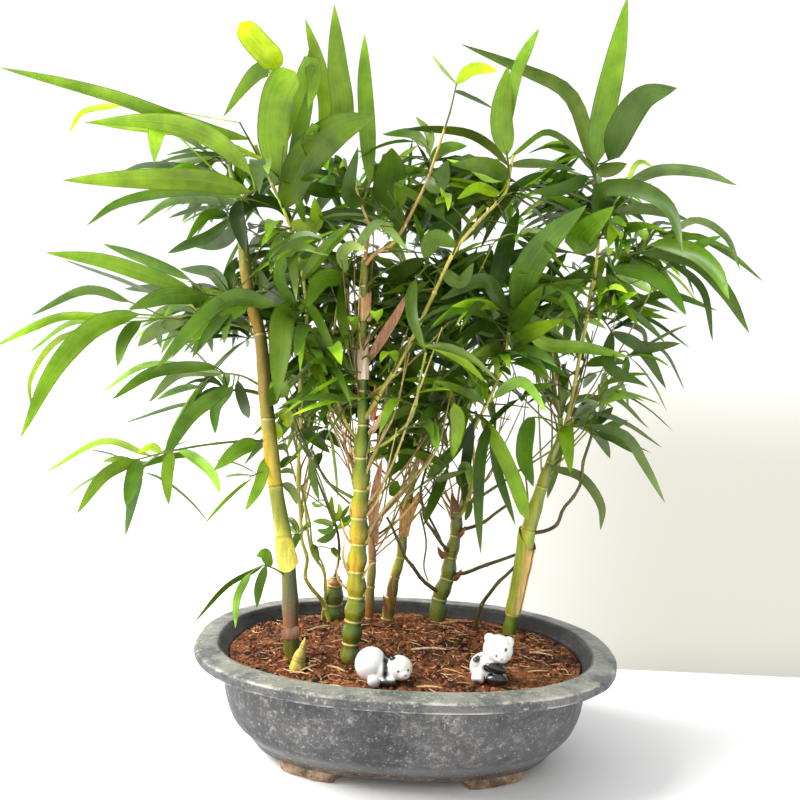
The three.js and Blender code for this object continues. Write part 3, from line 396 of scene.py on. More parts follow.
def culmMaterial(name, roughness, grain):
    # Skin of a culm or cane: its painted tint, fine streaks along the stem, faint blotches and specks.
    look = newLook(name)
    colour = look.tint()
    streaks = look.noise(grain, 5.0, 0.6, (1.0, 1.0, 0.06))
    blotch = look.noise(70.0, 5.0, 0.6)
    speck = look.noise(900.0, 2.0)
    dark = look.toned(colour, 0.76, 0.74, 0.6)
    light = look.toned(colour, 1.16, 1.13, 1.0)
    base = look.layers(dark, (light, streaks, 0.35, 0.65), (dark, blotch, 0.5, 0.72, 0.45),
                       ((0.16, 0.1, 0.04), speck, 0.62, 0.7, 0.5))
    rough = look.ramp(blotch, 0.3, 0.7, roughness, roughness + 0.2)
    return look.finish(look.skin(base, rough, Normal=look.bump(streaks, 0.25, 0.0004)))


def sheathMaterial():
    # Dry papery sheath: its tint with fibres along it and darker flecks; a little light comes through.
    look = newLook("drySheath")
    colour = look.tint()
    lines = look.maths("SINE", look.times(look.surface()[0], 210.0))
    fibre = look.noise(500.0, 4.0, 0.6, (1.0, 1.0, 0.05))
    blotch = look.noise(110.0, 5.0, 0.65)
    dark = look.toned(colour, 0.72, 0.62, 0.52)
    light = look.toned(colour, 1.2, 1.17, 1.12)
    base = look.layers(dark, (light, fibre, 0.36, 0.64), (dark, blotch, 0.52, 0.7, 0.6), (light, lines, 0.2, 1.0, 0.15))
    normal = look.bump(look.plus(fibre, look.times(lines, 0.15)), 0.5, 0.0004)
    skin = look.skin(base, 0.75, Normal=normal, Specular_IOR_Level=0.25)
    return look.finish(look.seenThrough(0.2, skin, Color=base))


leafSkin = leafMaterial()
culmSkin = culmMaterial("culmSkin", 0.2, 200.0)
caneSkin = culmMaterial("caneSkin", 0.45, 420.0)
sheathSkin = sheathMaterial()
print("camera and plant materials made")

# rows are (u, v, depth, radius) at the rings. skin lists the height v and a screen colour up the
# culm; the side-light setting is how strongly its left side is painted lighter and yellower, a painted
# highlight, and its right side darker, painted shade; and wax how pale it is below each ring.
culms = {
    "culm_tall_left": {
        "belly": 0.02, "swell": 1.05, "slot": "culm_yellow", "ring": (196, 176, 110), "paintedSideLight": 0.75, "wax": 0.12,
        "rows": [
            (-92.6, 66, -32, 6.0), (-94.8, 92, -32, 6.3), (-99.6, 147, -30, 6.0), (-112.3, 211, -26, 5.9),
            (-120.6, 266, -22, 5.7), (-129.6, 334, -16, 4.9), (-139.8, 368, -12, 4.6), (-147.6, 419, -6, 4.2),
            (-153, 446, 0, 3.0), (-159, 468, 6, 1.8),
        ],
        "skin": [
            (58, 104, 116, 48), (88, 92, 96, 48), (91, 150, 96, 80), (106, 136, 92, 74), (118, 104, 94, 62),
            (146, 104, 112, 62), (150, 226, 220, 84), (172, 196, 192, 66), (186, 140, 146, 46), (206, 150, 152, 50),
            (214, 206, 180, 60), (240, 186, 160, 58), (262, 160, 140, 56), (268, 122, 118, 50), (300, 136, 114, 56),
            (334, 138, 112, 54), (368, 156, 132, 60), (419, 130, 144, 58), (468, 122, 156, 54),
        ],
    },
    "culm_bellied": {
        "belly": 0.2, "swell": 1.0, "slot": "culm_yellow", "ring": (240, 212, 164), "paintedSideLight": 0.95, "wax": 0.0,
        "rows": [
            (-45.4, 66, -30, 7.0), (-45.2, 84.1, -30, 6.9), (-43.8, 103, -30, 7.0), (-42.4, 123, -30, 7.0),
            (-43.2, 144, -29, 6.9), (-42.4, 167, -28, 6.7), (-43.0, 188.5, -28, 6.6), (-42.5, 211.5, -27, 6.4),
            (-43.3, 238, -26, 6.0), (-43.0, 265, -25, 4.6), (-43.8, 293, -24, 3.9), (-47.0, 325, -24, 3.6),
            (-45.4, 352, -24, 3.2), (-46.4, 377, -23, 2.9), (-47.4, 399, -22, 2.4),
        ],
        "skin": [
            (60, 120, 118, 66), (82, 120, 126, 60), (86, 92, 108, 30), (103, 100, 118, 28), (123, 140, 144, 24),
            (144, 184, 158, 24), (167, 188, 164, 28), (189, 190, 158, 38), (212, 156, 156, 34), (238, 112, 132, 30),
            (265, 106, 126, 32), (293, 84, 108, 40), (399, 140, 138, 62),
        ],
    },
    "culm_stub": {
        "belly": 0.14, "swell": 1.0, "slot": "culm_green", "ring": (196, 184, 130), "paintedSideLight": 0.5, "wax": 0.2,
        "rows": [
            (-59.6, 101, 78, 8.0), (-60.8, 116, 78, 8.3), (-60.6, 132, 78, 7.6), (-60.4, 139, 78, 4.6),
        ],
        "skin": [
            (90, 104, 122, 62), (120, 84, 108, 50), (131, 108, 112, 52), (134, 190, 134, 92), (140, 140, 84, 62),
        ],
    },
    "culm_thin": {
        "belly": 0.05, "swell": 1.06, "slot": "culm_green", "ring": (196, 160, 110), "paintedSideLight": 0.6, "wax": 0.2,
        "rows": [
            (-31.0, 106, 70, 3.6), (-30.9, 132, 70, 3.7), (-30.6, 154, 70, 3.6), (-32.4, 173, 69, 2.9),
        ],
        "skin": [
            (90, 132, 84, 62), (116, 150, 108, 66), (134, 132, 140, 74), (150, 150, 140, 76), (158, 176, 132, 90),
            (175, 190, 140, 100),
        ],
    },
    "culm_middle": {
        "belly": 0.06, "swell": 1.04, "slot": "culm_yellow", "ring": (214, 212, 130), "paintedSideLight": 0.95, "wax": 0.1,
        "rows": [
            (-15.9, 106, 82, 5.4), (-13.6, 124, 82, 5.2), (-11.6, 141, 82, 4.7), (-7.6, 158, 80, 4.4),
            (-6.2, 178, 78, 4.0), (-3.0, 208, 76, 3.6), (2.5, 238, 72, 2.8), (9, 262, 68, 2.2), (15, 284, 64, 1.6),
        ],
        "skin": [
            (90, 220, 196, 150), (106, 206, 192, 130), (112, 112, 124, 52), (140, 124, 138, 58),
            (150, 170, 178, 88), (178, 130, 140, 60), (208, 160, 140, 84), (284, 140, 130, 70),
        ],
    },
    "culm_cut": {
        "belly": 0.09, "swell": 1.0, "slot": "culm_green", "ring": (206, 198, 150), "paintedSideLight": 0.75, "wax": 0.1,
        "rows": [
            (25.4, 106, 84, 7.6), (26.0, 125, 84, 7.4), (31.6, 142, 84, 6.9), (33.4, 160, 84, 6.2),
            (36.6, 178, 83, 5.4), (36.8, 198, 82, 5.4),
        ],
        "skin": [
            (90, 96, 112, 66), (125, 104, 122, 52), (160, 110, 124, 46), (198, 96, 106, 46),
        ],
    },
    "culm_sheathed": {
        "belly": 0.04, "swell": 1.02, "slot": "culm_green", "ring": (214, 206, 110), "paintedSideLight": 0.75, "wax": 0.0,
        "rows": [
            (84.6, 94, 56, 6.0), (86.8, 114.5, 56, 5.8), (90.8, 141, 55, 5.6), (93.6, 160, 54, 6.0),
            (96.2, 185, 54, 6.8), (104.8, 221, 52, 5.4), (110.2, 242, 51, 3.6), (116.6, 262, 50, 2.6),
            (117.6, 278, 50, 1.6),
        ],
        "skin": [
            (80, 110, 130, 42), (112, 112, 136, 44), (116, 232, 204, 104), (134, 216, 196, 72), (160, 196, 200, 62),
            (185, 190, 196, 64), (190, 150, 160, 60), (221, 146, 158, 58), (242, 150, 158, 70), (278, 150, 164, 60),
        ],
    },
    "shoot": {
        "belly": 0.05, "swell": 1.75, "slot": "culm_yellow", "ring": (206, 192, 120), "paintedSideLight": 0.7, "wax": 0.0,
        "rows": [
            (-88.8, 58, -53, 3.6), (-87.4, 69, -53, 3.0), (-84.6, 79, -53, 1.5), (-83.0, 86.5, -53, 0.5),
        ],
        "skin": [
            (50, 190, 170, 96), (70, 204, 186, 104), (88, 214, 190, 110),
        ],
    },
}
culmForm = {"planted": 26, "shootPlanted": 8, "sides": 22, "besideRings": (0, 0.35, 0.8, 1.4, 2.2, 3.4, 5.0),
            "step": 3.2, "knots": (0, 0.1, 0.42, 0.88, 1.0), "wax": (190, 196, 150), "budKnob": (136, 92, 50),
            "bud": (122, 84, 44), "ringKnob": (196, 168, 96)}
stems = {}


def ringStations(lengths, fine, coarse):
    # Fractions along a stem of several internodes: close to each ring at the given distances in
    # millimetres on both sides, and even steps between.
    t = []
    for i, length in enumerate(lengths):
        near = np.array([d for d in fine if d < length * 0.45]) / length
        even = evenly(max(2, int(length / coarse)) + 1)
        s = np.unique(np.concatenate([near, 1 - near, even[(even > near.max()) & (even < 1 - near.max())]]))
        t.append((i + s[:-1]) / len(lengths))
    return np.append(np.concatenate(t), 1.0)


def culmRadius(s, low, high, belly):
    # The radius runs through five knots of the internode with a smooth blend: it narrows above the
    # lower ring, swells in the lower half and narrows below the upper ring.
    knots = np.array(culmForm["knots"])
    middle = (low * 0.55 + high * 0.45) * (1 + belly)
    sizes = np.stack([low * 0.97, low * 0.93, middle, high * 0.93, high * 0.97])
    k = np.clip(np.searchsorted(knots, s, side="right") - 1, 0, 3)
    w = (s - knots[k]) / (knots[k + 1] - knots[k])
    w = w * w * (3 - 2 * w)
    pick = np.arange(len(s))
    return blend(sizes[k, pick], sizes[k + 1, pick], w)


def culmTint(culm, v, s, above, below):
    # The painted skin at height v, greener up each internode, with wax under a ring, a shadow
    # over it and the ring's own colour on it.
    heights, *channels = np.array(culm["skin"], float).T
    skin = linear(*(np.interp(v, heights, channel) for channel in channels)).T
    band = bell(np.minimum(above, below), 0.75)[:, None] * 0.85
    wax = (culm["wax"] * bell(below, 3.5))[:, None]
    shadow = 0.45 * bell(above - 1.3, 0.6)[:, None]
    bellied = 1 if culm["belly"] > 0.1 else 0.35
    greener = np.clip(s * 1.7 - 0.6, 0, 1)[:, None] * np.array([-0.5, -0.12, -0.3]) * bellied
    skin = blend(skin * (1 + greener) * (1 - shadow), linear(*culmForm["wax"]), wax)
    return blend(skin, linear(*culm["ring"]), band)


def culmKnobs(name, culm):
    # Buds: tubes that close in toward their tips.
    def knob(rows, size, power, tip, colour, sides, count):
        where = evenly(count)
        return tube(spots(rows), where, size * (1 - where**power) + tip, linear(*colour), sides)

    knobs = []
    if name == "culm_cut":
        knobs.append(knob([(35.4, 192, 82), (34.2, 203, 82), (31.6, 213, 82)], 4.4, 2.2, 0.3, culmForm["bud"], 12, 12))
        for u, height, lean in ((42, 181, 5), (40.5, 145, 5), (25, 163, -5)):
            rows = [(u - lean * 0.6, height - 3, 80), (u, height, 78), (u + lean * 0.5, height + 5, 77)]
            knobs.append(knob(rows, 2.9, 2.0, 0.3, culmForm["budKnob"], 10, 12))
    if name == "culm_bellied":
        for index in range(3, 9):
            u, height, depth, size = culm["rows"][index]
            sign = 1 if index % 2 else -1
            rows = [(u + sign * (size + out), height + up, depth - front)
                    for out, up, front in ((-1.6, 1.2, 2), (0.6, 3.5, 3), (1.4, 8.0, 3))]
            knobs.append(knob(rows, 1.5, 1.6, 0.15, culmForm["ringKnob"], 8, 8))
    return knobs


def growCulm(name, culm):
    u, v, depth, foot = culm["rows"][0]
    shoot = name == "shoot"
    rows = np.array([(u, v - culmForm["shootPlanted" if shoot else "planted"], depth, foot * 0.9), *culm["rows"]])
    points = spots(rows[:, :3])
    lengths = np.linalg.norm(np.diff(points, axis=0), axis=1)
    t = ringStations(lengths, culmForm["besideRings"], culmForm["step"])
    last = len(rows) - 1
    i = np.minimum((t * last).astype(int), last - 1)
    s = t * last - i
    above, below = s * lengths[i], (1 - s) * lengths[i]
    # Each ring stands out, with a groove and a soft shoulder over it, which are faint on the shoot.
    ridge = 0.1 if shoot else 1.0
    ring = 0.55 * bell(np.minimum(above, below), 0.6) - 0.3 * bell(above - 1.5, 0.8)
    radius = culmRadius(s, rows[i, 3], rows[i + 1, 3], culm["belly"]) * culm["swell"] + ridge * ring
    radius += ridge * 0.25 * bell(above - 3.0, 1.0)
    centres = curveAt(points, t)
    rings, spread = ringsAlong(centres, radius[:, None], culmForm["sides"])
    rings += (0.12 * wobble(rings, 16.0, 5))[..., None] * spread
    # The right side is painted darker, painted shade, and the left front is painted lighter and yellower, a painted
    # highlight.
    left = np.clip(-spread[..., 0:1] * 0.8 - spread[..., 1:2] * 0.45, 0, 1) ** 1.3 * culm["paintedSideLight"]
    right = np.clip(spread[..., 0:1] * 1.2 - 0.1, 0, 1) * culm["paintedSideLight"]
    tint = culmTint(culm, np.interp(t * last, np.arange(last + 1), rows[:, 1]), s, above, below)
    tint = tint[:, None] * (1 - right * np.array([0.9, 0.74, 0.85]))
    tint = blend(tint, tint * np.array([1.5, 1.3, 0.8]) + (0.07, 0.05, 0.0), left)
    stems[name] = {"points": points, "centres": centres}
    shells = [gridShell(rings, tint, along=t), *culmKnobs(name, culm)]
    makePiece(name + "_skin", shells, culmSkin, [name], sharp=0)


for name, culm in culms.items():
    growCulm(name, culm)
print("culms grown:", len(culms))

# Canes and side branches: (name, what it grows from, start and end radius, look, rows of (u, v, depth)).
canes = [
    ("cane_slender_left", None, 1.9, 1.3, "cane", [
        [-62, 95, 66], [-65, 105, 66], [-71, 119, 62], [-80, 129, 56], [-85, 138, 50], [-84, 153, 46],
        [-89, 168, 42], [-91, 190, 36], [-94, 214, 30], [-94.5, 236, 24], [-93, 260, 18], [-95.5, 284, 14],
        [-94, 312, 10], [-92, 345, 6], [-94.5, 370, 2], [-99, 392, 0], [-105, 412, -2], [-113, 432, -4],
        [-128, 462, -8], [-139, 485, -12],
    ]),
    ("cane_slender_middle", None, 1.7, 0.8, "cane", [
        [-70, 94, 72], [-69, 110, 72], [-68, 124, 70], [-70, 143, 66], [-80, 157, 58], [-83, 168, 54],
        [-86, 185, 46], [-88, 206, 40], [-85, 228, 34], [-88, 250, 28], [-86, 280, 22], [-88, 310, 18],
        [-86, 338, 14],
    ]),
    ("cane_dark_middle", "culm_stub", 1.4, 0.7, "caneDark", [
        [-59, 139, 78], [-58, 156, 72], [-60, 176, 60], [-66, 190, 48], [-72, 204, 36], [-79, 220, 26],
        [-85, 235, 10], [-92, 251, 0], [-99, 268, -8], [-108, 288, -14],
    ]),
    ("branch_bellied_left", "culm_bellied", 1.5, 0.8, "culmGreen", [
        [-50, 202, -28], [-61, 211, -26], [-71, 218, -22], [-78, 230, -16], [-83, 242, -10],
    ]),
    ("branch_fan", "culm_bellied", 1.4, 0.7, "cane", [
        [-50, 248, -26], [-58, 268, -22], [-66, 290, -16], [-71, 315, -8], [-69, 350, 0], [-66, 378, 4],
        [-59, 400, 8],
    ]),
    ("branch_pale", "culm_bellied", 1.5, 1.0, "cane", [
        [-36, 242, -26], [-26, 250, -32], [-15, 259, -36], [-5, 271, -36], [-1, 284, -34], [1, 302, -30],
        [5, 326, -24],
    ]),
    ("cane_main", "culm_bellied", 2.0, 1.1, "cane", [
        [-42, 268, -25], [-34, 284, -36], [-27, 298, -38], [-20, 309, -38], [-7, 335, -36], [1, 354, -34],
        [12, 380, -32], [20, 400, -30], [27, 413, -28], [43, 434, -24], [55, 447, -20], [63, 458, -16],
        [65, 470, -14], [67, 486, -12],
    ]),
    ("branch_top_left", "culm_bellied", 1.6, 0.9, "sheath", [
        [-47.6, 400, -22], [-46, 413, -18], [-45, 424, -16], [-52, 441, -14], [-58, 458, -12],
    ]),
    ("branch_top_right", "culm_bellied", 1.6, 1.0, "sheath", [
        [-46.8, 394, -22], [-39, 404, -30], [-29, 409, -32], [-21.5, 418, -32], [-12, 437, -30], [-1, 462, -26],
        [5, 482, -22], [12, 507, -18],
    ]),
    ("branch_thin_culm", "culm_thin", 1.7, 1.0, "cane", [
        [-32.4, 172, 68], [-28.6, 185, 60], [-23, 195, 54], [-15, 205, 50], [-6, 214, 46], [2, 228, 42],
        [14, 236, 36],
    ]),
    ("branch_cut_low", "culm_cut", 2.0, 1.1, "caneDark", [
        [22, 130, 76], [11, 140, 66], [2.5, 151, 60], [-3, 157, 56], [-11, 173, 52], [-16.5, 184, 48],
        [-20, 190, 46],
    ]),
    ("branch_cut_high", "culm_cut", 1.8, 1.0, "caneDark", [
        [28, 163, 76], [24.5, 172, 70], [18, 181, 66], [11, 190, 62], [9, 200, 60], [6.5, 211, 58], [8, 224, 54],
        [13, 242, 50],
    ]),
    ("branch_cut_right", "culm_cut", 1.9, 1.4, "caneDark", [
        [38, 144, 80], [46, 147, 76], [58, 152.5, 72], [69, 157, 69], [79, 161, 66], [88, 165, 60],
    ]),
    ("branch_cut_upper", "culm_cut", 1.8, 1.3, "caneDark", [
        [42, 181, 80], [50, 185.5, 76], [60, 190.5, 72], [68, 197.5, 69], [80, 207, 64],
    ]),
    ("cane_right_inner", "culm_cut", 1.7, 1.4, "cane", [
        [41, 190, 80], [45, 205, 70], [49, 236, 50], [46, 262, 36], [52, 277, 28], [59.5, 294, 22], [68, 320, 16],
        [71, 343, 12], [72, 364, 8],
    ]),
    ("cane_foot_right", None, 1.9, 1.4, "caneDark", [
        [56, 101, 72], [61.5, 122, 66], [67.4, 131.5, 62], [74, 141, 59], [80, 147, 57], [88, 156, 56],
    ]),
    ("branch_sheathed_right", "culm_sheathed", 1.8, 1.2, "caneDark", [
        [103, 181, 53], [111, 185.5, 48], [119, 191, 44], [123.5, 204, 40], [131, 214, 38], [136.5, 226, 36],
        [137.5, 243, 36], [142.5, 263, 38], [146, 282, 40],
    ]),
    ("cane_golden_right", "culm_sheathed", 1.8, 1.2, "cane", [
        [114, 252, 51], [121, 272, 46], [126, 300, 40], [129, 325, 34], [132, 347, 30], [135, 372, 26],
        [138, 398, 22], [139, 418, 20], [139, 440, 18], [136, 462, 16],
    ]),
]
caneLooks = {
    "cane": {
        "slot": "cane", "colours": ((164, 172, 62), (212, 210, 108), (190, 208, 92)), "ring": (232, 220, 150),
    },
    "caneDark": {
        "slot": "cane_dark", "colours": ((82, 68, 42), (104, 94, 52), (76, 88, 42)), "ring": (160, 126, 84),
    },
    "culmGreen": {
        "slot": "culm_green", "colours": ((98, 108, 44), (112, 120, 50), (90, 112, 42)), "ring": (190, 176, 110),
    },
    "sheath": {
        "slot": "sheath", "colours": ((214, 158, 116), (222, 176, 118), (186, 172, 92)), "ring": (232, 206, 156),
    },
}


def nearestOn(stem, u, v):
    # The point of a stem that shows closest to (u, v).
    dense = curveAt(stem["points"], evenly(240))
    return dense[((seenAt(dense) - (u, v)) ** 2).sum(1).argmin()]


def rooted(anchor, rows):
    # A line whose first point is moved onto the stem that it grows from.
    return np.vstack([nearestOn(stems[anchor], rows[0][0], rows[0][1]), spots(rows)[1:]])


def stemShell(name, points, startRadius, endRadius, colours, ring, internode, seed, sides=8):
    # A thin jointed stem: it swells a little at each joint, and its colour drifts along it.
    source = np.random.default_rng(seed)
    points = np.asarray(points, float)
    length = lengthOf(points)
    count = max(1, int(length / internode))
    t = ringStations(np.full(count, length / count), (0, 0.5, 1.2, 2.6), 6.0)
    s = t * count - np.floor(np.minimum(t * count, count - 1e-6))
    fromRing = np.minimum(s, 1 - s) * length / count
    radius = startRadius + (endRadius - startRadius) * t
    radius = radius * (1 + 0.28 * bell(fromRing, 0.9) - 0.05 * np.sin(s * np.pi))
    drift = source.uniform(0.92, 1.08, 3)
    palette = np.array([linear(*c) for c in colours])
    place = np.interp(t, evenly(len(palette)), np.arange(len(palette)))
    low = np.minimum(place.astype(int), len(palette) - 2)
    tint = blend(palette[low], palette[low + 1], (place - low)[:, None])
    tint = tint * drift * (0.85 + 0.3 * wobble(t[:, None] * np.array([[length, 0, 0]]), 30.0, seed)[:, None])
    tint = blend(tint, linear(*ring), bell(fromRing, 0.8)[:, None] * 0.7)
    stems[name] = {"points": points, "centres": curveAt(points, t)}
    return tube(points, t, radius, tint, sides)


for index, (name, anchor, startRadius, endRadius, look, rows) in enumerate(canes):
    if anchor:
        points = rooted(anchor, rows)
    else:
        points = spots(rows)
        points = np.vstack([points[0] - (0, 0, 8), points])
    style = caneLooks[look]
    shell = stemShell(name, points, startRadius, endRadius, style["colours"], style["ring"], 27.0, 100 + index, 10)
    makePiece(name + "_stem", [shell], caneSkin, [name], sharp=0)
print("canes grown:", len(canes))

# Screen colours of the leaf tones, from the sunlit crown to the shaded inside.
tones = {
    "Y": (206, 230, 20), "y": (190, 212, 44), "l": (178, 206, 60), "b": (150, 184, 42), "m": (122, 158, 44),
    "d": (95, 131, 44), "k": (66, 92, 38), "o": (112, 136, 46), "g": (140, 162, 102), "p": (190, 218, 142),
    "P": (212, 232, 156),
}
blades = {"thickness": 0.34, "fold": 0.20, "stations": 15, "ripple": 0.03, "narrowest": 9.0, "stalk": 0.55,
          "tipColour": (176, 150, 70), "nearTwig": 8, "turnedBack": -0.1}
# Around a blade: how far across, whether it is below, and the pattern's place. The large one has
# five points over the top, from edge to rib to edge, and three below.
largeRing = (np.array([-1, -0.52, 0, 0.52, 1, 0.5, 0, -0.5]), np.array([0, 0, 0, 0, 0, 1, 1, 1.0]),
             np.array([0, 0.24, 0.5, 0.76, 1, 0.75, 0.5, 0.25, 0.0]))
smallRing = (np.array([-1, 0, 1, 0]), np.array([0, 0, 0, 1.0]), np.array([0, 0.5, 1, 0.5, 0.0]))


def bladeOutline(q, strap=False):
    # Half-width from foot to tip: a quarter sine up to the broadest place, then a cosine taper whose
    # power keeps the sides nearly parallel at first. A strap stays broad and ends bluntly.
    broad, power, end = (0.42, 3.2, 0.5) if strap else (0.34, 1.45, 0.9)
    rise = np.sin(np.clip(q / broad, 0, 1) * np.pi / 2) ** 0.7
    fall = np.clip(np.cos(np.clip((q - broad) / (1 - broad), 0, 1) ** power * np.pi / 2), 0, 1) ** end
    return np.where(q < broad, rise, fall)


def bladeShell(points, foot, width, across, tint, stations, seed, fold=None, strap=False):
    # A leaf along a curve: a stalk up to foot, then the blade. across(tangents, centres) gives the
    # direction of its width; both halves lift by the fold, and the edges ripple a little.
    source = np.random.default_rng(seed)
    out, under, around = largeRing if stations > 9 else smallRing
    q = evenly(stations) ** 0.9
    t = np.concatenate([[0, foot * 0.6], foot + (1 - foot) * q]) if foot > 0 else q
    q = np.concatenate([[0, 0], q]) if foot > 0 else q
    centres = curveAt(points, t)
    tangents = unit(np.gradient(centres, axis=0))
    wide = across(tangents, centres)
    up = np.cross(wide, tangents)
    half = 0.5 * width * bladeOutline(q, strap) + blades["stalk"] * (1 - q) ** 4 + 0.12
    fold = blades["fold"] * source.uniform(0.3, 1.9) if fold is None else fold
    phase, waves = source.uniform(0, fullTurn), source.uniform(1.5, 3.5)
    ripple = blades["ripple"] * width * np.sin(q[:, None] * waves * fullTurn + phase + out * 1.4) * np.abs(out)
    lift = half[:, None] * np.abs(out) * fold + ripple * np.minimum(1, q[:, None] * 5) * (1 - q[:, None])
    depth = blades["thickness"] * (1 + 0.8 * (1 - np.abs(out))) * np.minimum(1, half[:, None] / 1.5)
    height = lift - under * depth
    rows = centres[:, None] + wide[:, None] * (half[:, None] * out)[..., None] + up[:, None] * height[..., None]
    along = (0.86 + 0.26 * q - 0.1 * np.sin(q * np.pi))[:, None, None]
    yellowing = np.clip((q - 0.93) * 9, 0, 1)[:, None, None] * source.uniform(0, 0.55)
    tint = blend(tint * along, linear(*blades["tipColour"]), yellowing)
    return gridShell(rows, np.broadcast_to(tint, (*rows.shape[:2], 3)), around=around, along=q)


def toneColour(tone, source):
    # The tone times a random brightness and a smaller random factor for each channel.
    return linear(*tones[tone]) * source.uniform(0.88, 1.14) * source.uniform(0.94, 1.06, 3)


